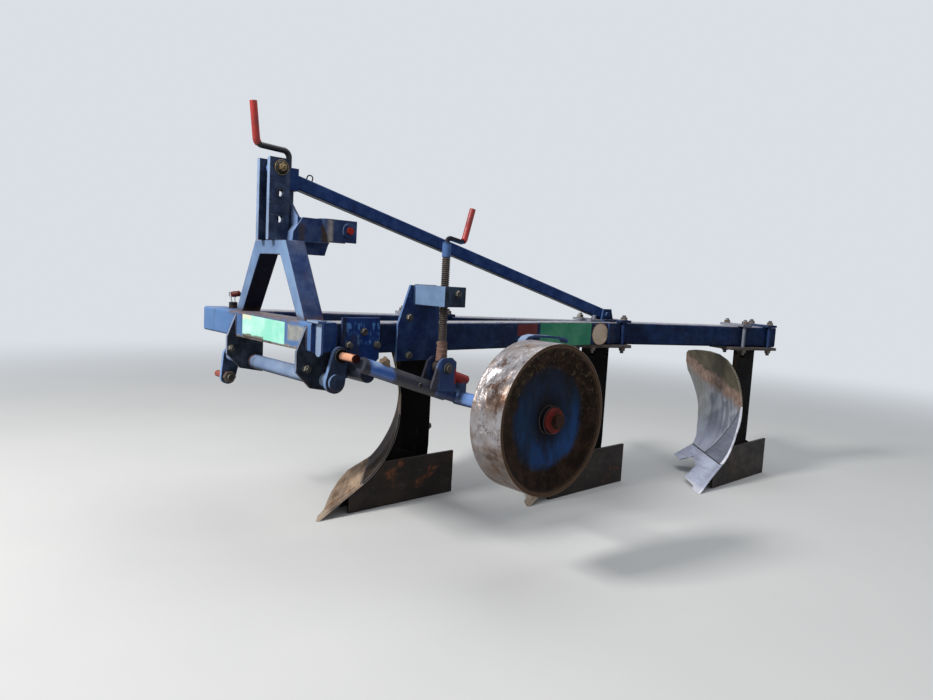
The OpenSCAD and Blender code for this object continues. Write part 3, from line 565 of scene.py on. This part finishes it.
# mesh building
class Build:
    def __init__(self):
        self.bm = bmesh.new()

    def face(self, verts, smooth=False):
        self.bm.faces.new(verts).smooth = smooth

    def rings(self, rings, smooth):
        """Faces between closed rings of equal length, with both ends closed."""
        for near, far in zip(rings, rings[1:]):
            n = len(near)
            for k in range(n):
                self.face((near[k], near[(k + 1) % n], far[(k + 1) % n], far[k]), smooth)
        self.face(list(reversed(rings[0])))
        self.face(rings[-1])

    def ring(self, p, u, w, r, seg, phase=0.0):
        """Circle of vertices round p, in the plane of u and w."""
        angles = (2 * math.pi * k / seg + phase for k in range(seg))
        return [self.bm.verts.new(p + (u * math.cos(a) + w * math.sin(a)) * r) for a in angles]

    def lathe(self, p, axis, prof, seg=24, phase=0.0, smooth=True):
        """Solid of revolution about axis through p; prof is a list of (radius, height)."""
        a = Vector(axis).normalized()
        u = a.orthogonal().normalized()
        w = a.cross(u)
        rings = [self.ring(Vector(p) + a * h, u, w, max(r, 1e-5), seg, phase) for r, h in prof]
        self.rings(rings, smooth)

    def washer(self, p, axis, r, t=0.003):
        self.lathe(p, axis, [(r, 0), (r, t * 0.7), (r - t * 0.3, t)], 28)

    def nut(self, p, axis, across, h, phase=0.0):
        """Hexagon; across is the distance between its flats."""
        r = across / math.sqrt(3)
        self.lathe(p, axis, [(r, 0), (r, h * 0.82), (r * 0.9, h)], 6, phase, smooth=False)

    def bolt(self, p, axis, d, stub=0.0, phase=0.0):
        """Washer, hexagon and rounded end of a bolt of diameter d, standing on a face at p."""
        p, a = Vector(p), Vector(axis).normalized()
        washer_t, nut_h, r = 0.003, d * 0.68, d / 2
        self.washer(p, a, d * 1.05, washer_t)
        self.nut(p + a * washer_t, a, d * 1.6, nut_h, phase)
        if stub:
            end = [(r, 0), (r, stub), (r * 0.82, stub + d * 0.09)]
            self.lathe(p + a * (washer_t + nut_h - 0.001), a, end, 20)

    def slab(self, corners, normal, t):
        """Thin plate from its corners, raised by t."""
        n = Vector(normal).normalized() * t
        lo = [self.bm.verts.new(Vector(c)) for c in corners]
        hi = [self.bm.verts.new(Vector(c) + n) for c in corners]
        self.rings([lo, hi], False)

    def bead(self, pts, r=0.004, step=0.004):
        """Weld bead or wire along a polyline."""
        line = []
        for a, b in zip(pts, pts[1:]):
            a, b = Vector(a), Vector(b)
            n = max(2, int((b - a).length / step))
            line += [a.lerp(b, k / n) for k in range(n)]
        line.append(Vector(pts[-1]))
        end = len(line) - 1
        rings = []
        for k, p in enumerate(line):
            d = (line[min(k + 1, end)] - line[max(k - 1, 0)]).normalized()
            u = d.orthogonal().normalized()
            w = d.cross(u)
            rr = r * (0.86 + 0.16 * math.sin(k * 1.9) + 0.12 * noise.noise(p * 60))
            if k in (0, end):
                rr *= 0.4
            rings.append(self.ring(p, u, w, rr, 7))
        self.rings(rings, True)

    def done(self, name, mat, body, bevel=0.0):
        """Make the object and let it ride on its body."""
        bmesh.ops.recalc_face_normals(self.bm, faces=self.bm.faces)
        me = bpy.data.meshes.new(name)
        self.bm.to_mesh(me)
        self.bm.free()
        ob = bpy.data.objects.new(name, me)
        bpy.context.scene.collection.objects.link(ob)
        me.materials.append(mat)
        if bevel:
            m = ob.modifiers.new("round", "BEVEL")
            m.width, m.segments, m.limit_method = bevel, 2, "ANGLE"
        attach(ob, body)
        return ob


# paints of the frame
# enamel in shade and in the sun: painted shade and painted light
ENAMEL_SHADED, ENAMEL_SUNLIT = srgb(6, 30, 84), srgb(118, 144, 178)
# pale edges of lit faces: painted edge highlight
EDGE_HIGHLIGHT = srgb(176, 184, 196)
# dark navy on the wheel arm's shaded parts: painted shade
SHADE_NAVY = srgb(8, 12, 30)


def tower_paint():
    shade = (box(x1=682, y1=-40, z1=1042), srgb(22, 19, 18), 0.85, 0.003, 0.002)
    foot = (box(z1=BEAM_TOP + 13), srgb(84, 64, 52), 0.7)
    return paint("blue_enamel", ENAMEL_SHADED, ENAMEL_SUNLIT, chips=0.55, edge=0.75, seed=1.0, zones=(shade, foot))


def crossbeam_paint():
    """Dusty brown on its top and low on its front, where the paint is gone."""
    skin = CROSS_FACE - 10
    bare_top = (box(y0=-265, y1=300, z0=BEAM_TOP - 3), srgb(134, 118, 108), 0.95)
    bare_low = (box(x0=690, y0=-200, y1=345, z1=724), srgb(150, 140, 124), 0.95, 0.006)
    edge = (box(x0=skin, y0=-265, y1=300, z0=808), srgb(78, 60, 48), 0.6)
    stripe = (box(x0=skin, y0=-130, y1=100, z0=720, z1=733), srgb(70, 56, 44), 0.8, 0.004)
    patch = (box(x0=skin, y0=224, y1=336, z0=745, z1=797), srgb(158, 154, 138), 0.75, 0.006, 0.008)
    return paint("blue_enamel_crossbeam", ENAMEL_SHADED, srgb(90, 124, 170), chips=0.62, edge=0.85, seed=8.0,
                 zones=(bare_top, bare_low, edge, stripe, patch))


def link_box_paint():
    """A pale band and two brown stains on its left plate."""
    band = (box(x0=462, x1=489, y0=78, z1=1184), srgb(172, 164, 154), 0.95, 0.008, 0.003)
    stain = (box(x0=489, x1=518, y0=78, z1=1160), srgb(70, 58, 40), 0.8, 0.005, 0.012)
    front_stain = (box(x0=588, x1=610, y0=86, z0=1096, z1=1156), srgb(74, 60, 44), 0.6, 0.005, 0.014)
    return paint("blue_enamel_link_box", srgb(4, 26, 74), srgb(118, 142, 182), edge=0.5, seed=1.7,
                 shade_and_grime=0.35, outline=EDGE_HIGHLIGHT, zones=(band, stain, front_stain))


def faded_paint():
    """Faded blue, with brown beside the right hanger."""
    brown = (box(x0=600, y0=-205, y1=-172, z1=660), srgb(96, 74, 60), 0.8, 0.006)
    return paint("blue_enamel_faded", srgb(36, 66, 122), srgb(138, 156, 180), chips=0.6, seed=4.0,
                 shade_and_grime=0.4, zones=(brown,))


def pivot_plate_paint():
    """Sooty in front, worn in the middle, scuffed above."""
    sooty = (box(x0=583, y0=384), srgb(34, 34, 38), 0.75, 0.005, 0.02)
    worn = (box(x0=530, x1=575, y0=384, z0=700, z1=772), srgb(52, 52, 54), 0.5, 0.01, 0.03)
    scuffed = (box(x1=590, y0=384, z0=742, z1=816), srgb(84, 128, 186), 0.85)
    return paint("blue_enamel_scratched", srgb(6, 34, 94), srgb(70, 100, 150), chips=0.45, edge=0.8,
                 seed=9.0, shade_and_grime=0.4, zones=(sooty, worn), scuffs=scuffed)


# each paint mixes a shaded colour and a sunlit one by the way its faces turn to the key light: painted
# light and shade
TOWER = tower_paint()
CROSSBEAM = crossbeam_paint()
LINK_BOX = link_box_paint()
SHAFT = faded_paint()
PIVOT_PLATE = pivot_plate_paint()
BEAM = paint("blue_enamel_dark", srgb(2, 17, 50), srgb(60, 88, 134), chips=0.4, edge=0.4, seed=2.0,
             shade_and_grime=0.55, top=0.9)
HEAD = paint("blue_enamel_headstock", srgb(6, 22, 60), srgb(132, 154, 186), edge=0.7, seed=1.5,
             shade_and_grime=0.75, outline=EDGE_HIGHLIGHT)
STRUT = paint("blue_enamel_strut", srgb(8, 32, 84), srgb(84, 114, 160), chips=0.2, edge=0.1, seed=2.5,
              shade_and_grime=0.35, dust=0.1)
CLAMP = paint("clamp_grey", srgb(82, 86, 98), srgb(150, 154, 168), chips=0.45, seed=13.0, dust=0.5,
              shade_and_grime=0.3, top=0.6, bare=srgb(140, 140, 146))
CLAMP_REAR = paint("blue_enamel_clamps", srgb(8, 26, 66), srgb(48, 66, 102), chips=0.45, edge=0.5,
                   seed=13.5, dust=0.5, shade_and_grime=0.4, top=0.8)
STAND = paint("blue_enamel_stand", srgb(5, 24, 70), srgb(92, 122, 170), chips=0.35, seed=14.0,
              shade_and_grime=0.35, outline=EDGE_HIGHLIGHT)
NUT_BOX = paint("blue_enamel_nut_box", srgb(8, 9, 14), srgb(112, 138, 172), edge=0.7, seed=15.0,
                shade_and_grime=0.9)
CRANK_ARM = paint("blue_enamel_crank_arm", srgb(16, 18, 32), srgb(124, 154, 200), edge=0.7,
                  seed=11.0, outline=EDGE_HIGHLIGHT, bare=srgb(84, 88, 104))
HANGER = paint("dark_blue_enamel", srgb(1, 2, 10), srgb(128, 144, 172), edge=0.8, seed=12.0,
               shade_and_grime=0.6, outline=EDGE_HIGHLIGHT)
BLACK = paint("black_enamel", srgb(16, 17, 21), srgb(46, 46, 50), chips=0.3, edge=0.4, seed=5.0,
              bare=srgb(96, 92, 90), spec=0.3)
RED = paint("red_paint", srgb(150, 34, 26), srgb(176, 66, 52), chips=0.3, edge=0.4, seed=7.0,
            bare=srgb(120, 96, 84), shade_and_grime=0.3)
# bolts dark on faces in shade and cream on lit ones, painted light; the outline is a painted edge highlight
BOLT = paint("bolt_paint", srgb(12, 14, 22), srgb(150, 146, 136), chips=0.3, edge=0.35, seed=16.0,
             shade_and_grime=0.3, bare=srgb(56, 56, 62), outline=srgb(150, 144, 130), spec=0.15)


# paints of the wheel arm, the screw, the pins and the legs
def arm_paint():
    """Glossy blue, muddy in the middle, darker at the rear end, red by the axle; painted shade at the front
    end, on the inner side and on the sleeve below, and a painted highlight on top at the front.
    """
    mud = (box(x0=285, x1=474, y1=558), srgb(56, 52, 52), 0.95, 0.01, 0.02)
    rear = (box(x1=285, y1=560), srgb(18, 26, 56), 0.75)
    front = (box(x0=574), srgb(26, 22, 24), 0.95, 0.006, 0.008)
    inside = (box(y1=478), SHADE_NAVY, 0.95, 0.004, 0.004)
    below = (box(x0=526, y1=499, z1=650), SHADE_NAVY, 0.95, 0.004, 0.002)
    red = (box(x0=100, x1=214, y0=500, y1=546, z0=604, z1=660), srgb(150, 26, 16), 1.0, 0.003, 0.002)
    painted_highlight = (box(x0=520, x1=562, y0=508, z0=680, z1=700), srgb(150, 176, 214), 0.75, 0.008, 0.006)
    return paint("blue_enamel_arm", srgb(56, 94, 166), srgb(112, 144, 194), chips=0.3, edge=0.4, seed=10.0,
                 rough=0.22, coat=0.35, spec=0.3, shade_and_grime=0.2,
                 zones=(mud, rear, front, inside, below, red, painted_highlight))


def leg_paint():
    """Nearly black, with pale dust on the foot plates under the beam."""
    dusty = (box(z0=FOOT_LOW), srgb(100, 92, 90), 0.8)
    return paint("dark_enamel", srgb(8, 6, 6), srgb(24, 20, 18), chips=0.3, edge=0.2, dust=0.2, seed=3.0,
                 scratch=0.1, bare=srgb(58, 48, 42), rough=0.6, spec=0.03, zones=(dusty,))


def screw_crank_paint():
    """Black, with blue at its foot."""
    blue = (box(z1=1114), srgb(76, 104, 152), 1.0)
    return paint("screw_crank_enamel", srgb(20, 20, 23), srgb(46, 46, 50), chips=0.3, edge=0.4, seed=5.5,
                 bare=srgb(96, 92, 90), zones=(blue,))


def left_pin_paint():
    """Orange primer, with a dark end and a dark shoulder."""
    end = (box(y0=497), srgb(40, 14, 12), 1.0, 0.003, 0.004)
    shoulder = (box(y1=420.8), srgb(20, 17, 17), 1.0, 0.001, 0.001)
    return paint("pin_primer", srgb(176, 116, 88), srgb(214, 160, 132), chips=0.3, edge=0.4, seed=6.0,
                 bare=srgb(206, 190, 160), shade_and_grime=0.2, zones=(end, shoulder))


def right_pin_paint():
    """Dull red, with a grey inner end."""
    inner = (box(y0=-397), srgb(96, 90, 84), 1.0)
    return paint("pin_primer_right", srgb(120, 54, 46), srgb(150, 78, 66), chips=0.45, edge=0.5, seed=6.5,
                 bare=srgb(120, 96, 84), shade_and_grime=0.4, zones=(inner,))


def hub_paint():
    """Dull red, brown at its outer end and dark beside the wheel."""
    outer = (box(y0=988), srgb(54, 38, 32), 1.0, 0.003, 0.002)
    inner = (box(y1=964), srgb(30, 24, 22), 0.9, 0.003, 0.003)
    return paint("hub_paint", srgb(104, 32, 30), srgb(132, 50, 46), edge=0.5, seed=7.5,
                 bare=srgb(96, 72, 64), zones=(outer, inner))


ARM = arm_paint()
LEG = leg_paint()
SCREW_CRANK = screw_crank_paint()
PIN_LEFT = left_pin_paint()
PIN_RIGHT = right_pin_paint()
HUB = hub_paint()
GRIP = plastic("red_grip", srgb(160, 30, 22), srgb(118, 22, 18))
WHEEL = wheel_mat("wheel_paint")

# bare steel, and soil
LANDSIDE = steel("landside_steel", srgb(50, 42, 37), srgb(26, 21, 19), rust=0.42, rough=0.55,
                 flow=(18, 30, 30), metal=0.25, shine=srgb(112, 104, 100), pits=0.6, pit_scale=60.0,
                 spec=0.25)
THREAD = steel("thread_steel", srgb(74, 64, 60), srgb(34, 27, 26), rust=0.35, rough=0.6, flow=(60, 60, 60),
               metal=0.3, shine=srgb(118, 106, 98))
NUTS = steel("nut_steel", srgb(112, 102, 90), srgb(56, 46, 40), rust=0.6, rough=0.5, flow=(40, 40, 40),
             metal=0.3, seed=3, shine=srgb(156, 148, 136))
BRASS = steel("brassy_zinc", srgb(120, 100, 66), srgb(40, 34, 26), rust=0.3, rough=0.4, flow=(40, 40, 40),
              metal=0.6, shine=srgb(206, 184, 134))
SOIL = steel("dried_soil", srgb(112, 94, 74), srgb(66, 52, 42), rust=0.2, rough=0.9, flow=(30, 30, 30),
             metal=0.0, shine=srgb(130, 112, 92), pits=0.6, pit_scale=40.0)
SCREW_SOIL = steel("screw_soil", srgb(146, 112, 98), srgb(72, 48, 42), rust=0.5, rough=0.8,
                   flow=(20, 20, 160), metal=0.0, shine=srgb(170, 140, 124), pits=0.8, pit_scale=70.0)
SEAM = steel("seam_soil", srgb(34, 28, 24), srgb(20, 17, 15), rust=0.3, rough=0.9, metal=0.0,
             shine=srgb(48, 42, 38))


def share_steel(i):
    """Brown with soil on the front bodies, bright on the last one."""
    both = {"flow": (6, 6, 90), "seed": i + 1, "pits": 0.9, "pit_scale": 55.0}
    name = f"share_steel_{i + 1}"
    if i < LAST:
        return steel(name, srgb(174, 150, 126), srgb(70, 54, 44), rust=0.3, rough=0.7, metal=0.1, spec=0.08,
                     body=i, wear=share_wear, **both)
    return steel(name, srgb(186, 192, 212), srgb(140, 144, 162), rust=0.1, rough=0.5, metal=0.5, body=i,
                 wear=share_wear, **both)


def shin_steel(i):
    """Brown with soil and painted shade on the front bodies, bright with a worn edge on the last one."""
    both = {"flow": (6, 6, 60), "seed": 6 + i, "pits": 0.6, "pit_scale": 70.0}
    name = f"shin_steel_{i + 1}"
    if i < LAST:
        return steel(name, srgb(72, 60, 52), srgb(36, 29, 25), rough=0.8, metal=0.0, spec=0.04,
                     **both)
    return steel(name, srgb(122, 126, 142), srgb(88, 90, 104), rust=0.14, rough=0.42, metal=0.65, body=i,
                 wear=shin_wear, **both)


MATS = {"main_beam": BEAM, "long_beam": BEAM, "crossbeam": CROSSBEAM, "hitch_tower": TOWER,
        "headstock": HEAD, "strut": STRUT, "strut_block": STRUT, "strut_bolt": BRASS, "strut_loop": BLACK,
        "junction_bracket": BEAM, "junction_pin": BEAM, "junction_cheek": BEAM,
        "link_box": LINK_BOX, "link_pin": RED, "top_crank": BLACK, "top_grip": GRIP, "beam_socket": TOWER,
        "hanger_left": HANGER, "hanger_right": HANGER, "corner_strap": SHAFT, "cross_shaft": SHAFT,
        "crank_arm_left": CRANK_ARM, "crank_arm_right": CRANK_ARM,
        "hitch_pin_left": PIN_LEFT, "hitch_pin_right": PIN_RIGHT, "pivot_plate": PIVOT_PLATE,
        "wheel_arm": ARM, "depth_wheel": WHEEL, "wheel_hub": HUB, "scraper": SHAFT, "screw_stand": STAND,
        "nut_box": NUT_BOX, "depth_screw": THREAD, "screw_crank": SCREW_CRANK, "screw_grip": GRIP}
for i in range(BODIES):
    MATS[f"leg_{i + 1}"] = LEG
    MATS[f"landside_{i + 1}"] = LANDSIDE
    MATS[f"share_{i + 1}"] = share_steel(i)
    MATS[f"shin_{i + 1}"] = shin_steel(i)
    MATS[f"mouldboard_{i + 1}"] = board(f"mouldboard_steel_{i + 1}", i)
    MATS[f"clamp_front_{i + 1}"] = CLAMP
    MATS[f"clamp_rear_{i + 1}"] = CLAMP_REAR
for node, ob in NODES.items():
    ob.data.materials.clear()
    ob.data.materials.append(MATS[node])


# places on the bodies
def on_beam(i, x, y, z):
    """Point on body i's clamp, x to the rear along the diagonal beam and y to its right."""
    cx, cy = CLAMP_X, BEAM_AXIS[1] - (CLAMP_X - BEAM_AXIS[0]) * math.tan(DIAG)
    back = (-math.cos(DIAG), math.sin(DIAG))
    aside = (-math.sin(DIAG), -math.cos(DIAG))
    return place(cx + x * back[0] + y * aside[0] - PITCH[0] * i,
                 cy + x * back[1] + y * aside[1] + PITCH[1] * i, z)


def on_surface(i, along, z):
    """Point and normal of body i's working surface: share flat, lower arc, upper arc."""
    flat_end = SHARE_Z / math.tan(SHARE_SLOPE)
    low = (flat_end - LOW_R * math.sin(SHARE_SLOPE), SHARE_Z + LOW_R * math.cos(SHARE_SLOPE))
    meet = (low[0] + LOW_R * math.sin(MID_SLOPE), low[1] - LOW_R * math.cos(MID_SLOPE))
    high = (meet[0] - HIGH_R * math.sin(MID_SLOPE), meet[1] + HIGH_R * math.cos(MID_SLOPE))
    if z <= SHARE_Z:
        a, x = SHARE_SLOPE, z / math.tan(SHARE_SLOPE)
    else:
        c, r = (low, LOW_R) if z <= meet[1] else (high, HIGH_R)
        a = math.acos((c[1] - z) / r)
        x = c[0] + r * math.sin(a)
    point = place(TIP[0] - PITCH[0] * i + x * INTO[0] + along * EDGE[0],
                  TIP[1] + PITCH[1] * i + x * INTO[1] + along * EDGE[1], z)
    return point, Vector((-math.sin(a) * INTO[0], -math.sin(a) * INTO[1], math.cos(a)))


# bolts and nuts
def clamp_nuts():
    """Nuts above and below the clamps.

    Above the second body's front clamp one isn't in the photo, and frame_bolts makes the painted one."""
    b = Build()
    for i in range(BODIES):
        for x in (-CLAMP_BOLT[0], CLAMP_BOLT[0]):
            for y in (-CLAMP_BOLT[1], CLAMP_BOLT[1]):
                if (i, x) != (1, -CLAMP_BOLT[0]):
                    b.bolt(on_beam(i, x, y, CLAMP_TOP), UP, M18, stub=0.008, phase=random.random())
                b.bolt(on_beam(i, x, y, FOOT_LOW), DOWN, M18, stub=0.012, phase=random.random())
    b.done("clamp_nuts", NUTS, "frame", 0.0008)


def frame_bolts():
    b = Build()
    # pivot plate and screw stand
    for x, z in ((513, 784), (573, 738), (456, 737)):
        b.bolt(place(x, PLATE_FACE, z), LEFT, 0.0135, phase=random.random())
    for x, z in ((316, 835), (312, 695)):
        b.bolt(place(x, PLATE_FACE, z), LEFT, 0.014, phase=random.random())
    # through the hangers
    for x, y, z, d in ((733, -190, 669, 0.014), (712, 352, 657, 0.015)):
        b.bolt(place(x, y, z), LEFT, d, stub=0.004)
        b.bolt(place(x, y - HANGER_T, z), RIGHT, d, stub=0.012)
    # under the joint of the beams, nut box, first leg and second clamp
    b.bolt(place(-728, 340, BEAM_FOOT), DOWN, 0.022, stub=0.024)
    b.bolt(place(237, 562, 932), LEFT, 0.013, phase=0.4)
    b.bolt(place(-133, -14, 306), REAR, 0.017, stub=0.004)
    b.bolt(on_beam(1, -CLAMP_BOLT[0], CLAMP_BOLT[1], CLAMP_TOP), UP, M18, stub=0.008)
    b.done("bolts_frame", BOLT, "frame", 0.0008)


def surface_bolts(i):
    """Flush plough bolts of body i, and the bolts of its landside."""
    for part, places in PLOUGH_BOLTS.items():
        b = Build()
        for along, z in places:
            p, n = on_surface(i, along, z)
            b.lathe(p - n * 0.001, n, [(0.0115, 0), (0.0115, 0.0012), (0.0108, 0.0016)], 24)
        b.done(f"{part}_bolts_{i + 1}", MATS[f"{part}_{i + 1}"], "frame")
    b = Build()
    for x, z in LANDSIDE_BOLTS:
        p = place(x - PITCH[0] * i, TIP[1] + PITCH[1] * i, z) - Vector((0, 0.001, 0))
        b.lathe(p, LEFT, [(0.013, 0), (0.013, 0.0012), (0.012, 0.0018)], 24)
    b.done(f"landside_bolts_{i + 1}", LANDSIDE, "frame")


def strut_bolt():
    """The strut's upper bolt: washer face painted dark as painted shade, with a bright brassy rim, brassy
    nut and bolt end, on both sides.
    """
    x, z = STRUT_BOLT
    b = Build()
    for s in (1, -1):
        prof = [(0.0255, 0), (0.0255, 0.004), (0.0175, 0.004), (0.0175, 0.006)]
        b.lathe(place(x, s * HEAD_FACE, z), (0, s, 0), prof, 32)
    b.done("strut_bolt_washers_painted_shade", BLACK, "frame")
    b = Build()
    for s in (1, -1):
        rim = [(0.0275, 0), (0.0275, 0.0045), (0.0255, 0.0045), (0.0255, 0.001)]
        b.lathe(place(x, s * HEAD_FACE, z), (0, s, 0), rim, 32)
        b.nut(place(x, s * (HEAD_FACE + 5.5), z), (0, s, 0), 0.028, 0.013, 0.3)
        end = [(0.0075, 0), (0.0075, 0.006), (0.006, 0.0075)]
        b.lathe(place(x, s * (HEAD_FACE + 18), z), (0, s, 0), end, 20)
    b.done("strut_bolt_heads", BRASS, "frame", 0.0008)


def arm_washers():
    """Washer and pin end on the ear of the wheel arm, and a plug on the arm."""
    b = Build()
    washer = [(0.0195, 0), (0.0195, 0.004), (0.0185, 0.005), (0.0125, 0.005)]
    b.lathe(place(EAR_PIN[0], 542, EAR_PIN[1]), LEFT, washer, 32)
    plug = [(0.0095, -0.004), (0.0095, 0.003), (0.008, 0.004), (0.005, 0.004), (0.0045, 0.0015)]
    b.lathe(place(362, 531, 607), LEFT, plug, 24)
    b.done("arm_washer", BOLT, "wheel_arm")
    b = Build()
    b.lathe(place(EAR_PIN[0], 546, EAR_PIN[1]), LEFT, [(0.0125, 0), (0.0125, 0.006), (0.0112, 0.0075)], 24)
    b.done("trunnion_pin_end", PIN_RIGHT, "wheel_arm")


def hitch_pin_washers():
    """Washer on the left hitch pin, and the stub in the nut of the right one."""
    b = Build()
    washer = [(0.0245, 0), (0.0245, 0.003), (0.0235, 0.0035), (0.0225, 0.0035), (0.0225, 0.0005)]
    b.lathe(place(615.9, 412.6, 705), LEFT, washer, 32)
    b.lathe(place(651, -377, 524.4), LEFT, [(0.0125, 0), (0.0125, 0.008), (0.011, 0.0095)], 24)
    b.done("hitch_pin_washers", BOLT, "hitch_shaft")


# soil, welds and thread
def joint_soil(i):
    """Soil packed in the joints of body i's working surface."""
    b = Build()
    for line, r in ((SHARE_JOINT, 0.003 if i < LAST else 0.0042), (SHIN_JOINT, 0.0024)):
        pts = []
        for along, z in line:
            p, n = on_surface(i, along, z)
            pts.append(p - n * (r * 0.45))
        b.bead(pts, r, 0.006)
    b.done(f"joint_soil_{i + 1}", SEAM, "frame")


def weld_beads():
    b = Build()
    top = BEAM_TOP + 1
    # round the tower's feet, at the foot of the headstock and up the front edges of the hangers
    for y0, y1 in ((-255, -203), (233, 285)):
        b.bead([place(610, y0, top), place(685, y0, top), place(685, y1, top), place(610, y1, top)])
    for y in (-51, 51):
        b.bead([place(632, y, TOWER_TOP + 1), place(685, y, TOWER_TOP + 1)])
    for y in (-203, -189, 339, 353):
        b.bead([place(CROSS_FACE + 1, y, 722), place(CROSS_FACE + 1, y, 799)], 0.0035)
    # round the nut box on its stand and at the foot of the link box
    stand = ((197, 886), (197, 955), (296, 955), (297, 886))
    b.bead([place(x, PLATE_FACE + 1, z) for x, z in stand], 0.0035)
    b.bead([place(484, 93, TOWER_TOP + 1), place(634, 93, TOWER_TOP + 1)], 0.0035)
    b.done("weld_beads", TOWER, "frame")


def screw_soil():
    """Dried soil and grease round the foot of the depth screw."""
    b = Build()
    rows, rise = 40, 0.0018
    prof = []
    for k in range(rows + 1):
        r = 0.0165 if k in (0, rows) else 0.0205
        prof.append((r + 0.0012 * math.sin(k * 1.8) - 0.00004 * k, k * rise))
    b.lathe(place(*SCREW, 686), UP, prof, 36)
    axis = place(*SCREW, 0)
    for vert in b.bm.verts:
        side = Vector((vert.co[0] - axis[0], vert.co[1] - axis[1], 0))
        vert.co += side * 0.16 * noise.noise(vert.co * 90)
    b.done("screw_soil", SCREW_SOIL, "screw")


def arm_soil():
    """Lump of dried soil on the wheel arm."""
    b = Build()
    half = (0.021, 0.017, 0.026)
    geo = bmesh.ops.create_icosphere(b.bm, subdivisions=4, radius=1.0)
    for vert in geo["verts"]:
        d = vert.co.normalized()
        k = 1.0 + 0.22 * noise.noise(d * 2.3) + 0.07 * noise.noise(d * 7)
        vert.co = place(503, 505, 682) + Vector([d[n] * half[n] for n in range(3)]) * k
    for f in b.bm.faces:
        f.smooth = True
    b.done("arm_soil", SOIL, "wheel_arm")


def screw_thread():
    """Ridges of the depth screw, in metres above ground, left out where it runs through the nut box."""
    b = Build()
    axis = place(*SCREW, 0)
    pitch, seg = 0.007, 18
    core, ridge = 0.0125, 0.0026
    for z0, z1 in ((0.688, 0.886), (0.954, 1.058)):
        n = int((z1 - z0) / pitch * seg)
        rows = []
        for k in range(n + 1):
            turn = 2 * math.pi * k / seg
            z = z0 + (z1 - z0) * k / n
            # the ridge fades in and out at the ends
            crest = core + 0.0005 + ridge * min(1.0, k / 8, (n - k) / 8)
            out = Vector((math.cos(turn), math.sin(turn), 0))
            section = ((-0.0026, core), (-0.0008, crest), (0.0008, crest), (0.0026, core))
            rows.append([b.bm.verts.new(Vector((axis[0], axis[1], z + dz)) + out * r) for dz, r in section])
        b.rings(rows, False)
    b.done("screw_thread", THREAD, "screw")


# clip, stickers and sign
def socket_clip():
    """Spring clip with its wires, left standing in the beam's socket."""
    b = Build()
    axis = Vector((-0.73, 0.68, 0.16)).normalized()
    prof = [(0.004, 0), (0.010, 0.003), (0.0125, 0.012), (0.0115, 0.028), (0.0125, 0.036), (0.005, 0.042)]
    b.lathe(place(641, -365, 874) - axis * 0.020, axis, prof, 18)
    b.done("socket_clip", label("clip_red", srgb(96, 22, 18), srgb(54, 18, 14), 8), "frame")
    b = Build()
    side = Vector((-0.73, 0.68, 0))
    foot = place(647, -372, 838)
    wires = (((-4, 0), (-10, 18), (-6, 30)), ((8, 0), (6, 18), (14, 30)),
             ((-13, 22), (-18, 32), (-16, 42), (-2, 44)))
    for wire in wires:
        b.bead([foot + side * (k / 1000) + Vector((0, 0, h / 1000)) for k, h in wire], 0.0018)
    b.done("socket_clip_wire", BLACK, "frame")


def sticker(name, corners, normal, mat):
    """Blank sticker, without any writing."""
    b = Build()
    b.slab([place(*c) for c in corners], normal, 0.0006)
    b.done(name, mat, "frame")


def mint_plate():
    torn = (box(y1=40, z1=734), srgb(92, 80, 62), 0.9, 0.003, 0.012)
    bleached = (box(y1=-60, z0=790), srgb(214, 206, 180), 0.8, 0.006, 0.02)
    mat = label("mint_sticker", srgb(134, 206, 184), srgb(184, 226, 214), 1, zones=(torn, bleached))
    corners = [(CROSS_FACE, y, z) for y, z in ((-133, 728), (200, 724), (200, 803), (-133, 808))]
    sticker("mint_plate", corners, FRONT, mat)


def beam_stickers():
    """Green sticker and dark red one on the long beam's left face."""
    corners = [(x, LEFT_FACE, z) for x, z in ((-790, 708), (-425, 708), (-425, 812), (-790, 812))]
    mat = label("green_sticker", srgb(26, 104, 78), srgb(62, 128, 98), 3, 0.58)
    sticker("green_plate", corners, LEFT, mat)
    corners = [(x, LEFT_FACE, z) for x, z in ((-404, 760), (-278, 758), (-280, 806), (-404, 809))]
    mat = label("red_sticker", srgb(72, 12, 16), srgb(92, 28, 30), 4, 0.62)
    sticker("red_patch", corners, LEFT, mat)


def round_sign():
    """Blank cream sign, a little longer than high, with a brown rim."""
    x, z = SIGN
    b = Build()
    prof = [(0.054, 0), (0.054, 0.0008), (0.0535, 0.001)]
    b.lathe(place(x, LEFT_FACE, z), LEFT, prof, 48, smooth=False)
    middle = place(x, 0, 0)[0]
    for vert in b.bm.verts:
        vert.co[0] += (vert.co[0] - middle) * 0.18
    mat = label("cream_sign", srgb(190, 172, 154), srgb(164, 144, 124), 5, 0.66)
    b.done("round_sign", mat, "frame")
    b = Build()
    turns = [2 * math.pi * k / 40 for k in range(41)]
    line = [place(x + 62 * math.cos(a), LEFT_FACE + 0.6, z + 52.5 * math.sin(a)) for a in turns]
    b.bead(line, 0.0022, 0.008)
    mat = label("sign_rim", srgb(104, 72, 52), srgb(70, 52, 42), 6)
    b.done("round_sign_rim", mat, "frame")


# the scene
make_camera()
make_world()
make_floor()
bpy.context.scene.view_settings.view_transform = "Standard"
for lamp in LAMPS:
    area_light(*lamp)
clamp_nuts()
frame_bolts()
for i in range(BODIES):
    surface_bolts(i)
for i in range(BODIES):
    joint_soil(i)
weld_beads()
screw_soil()
arm_soil()
arm_washers()
strut_bolt()
hitch_pin_washers()
socket_clip()
screw_thread()
mint_plate()
beam_stickers()
round_sign()
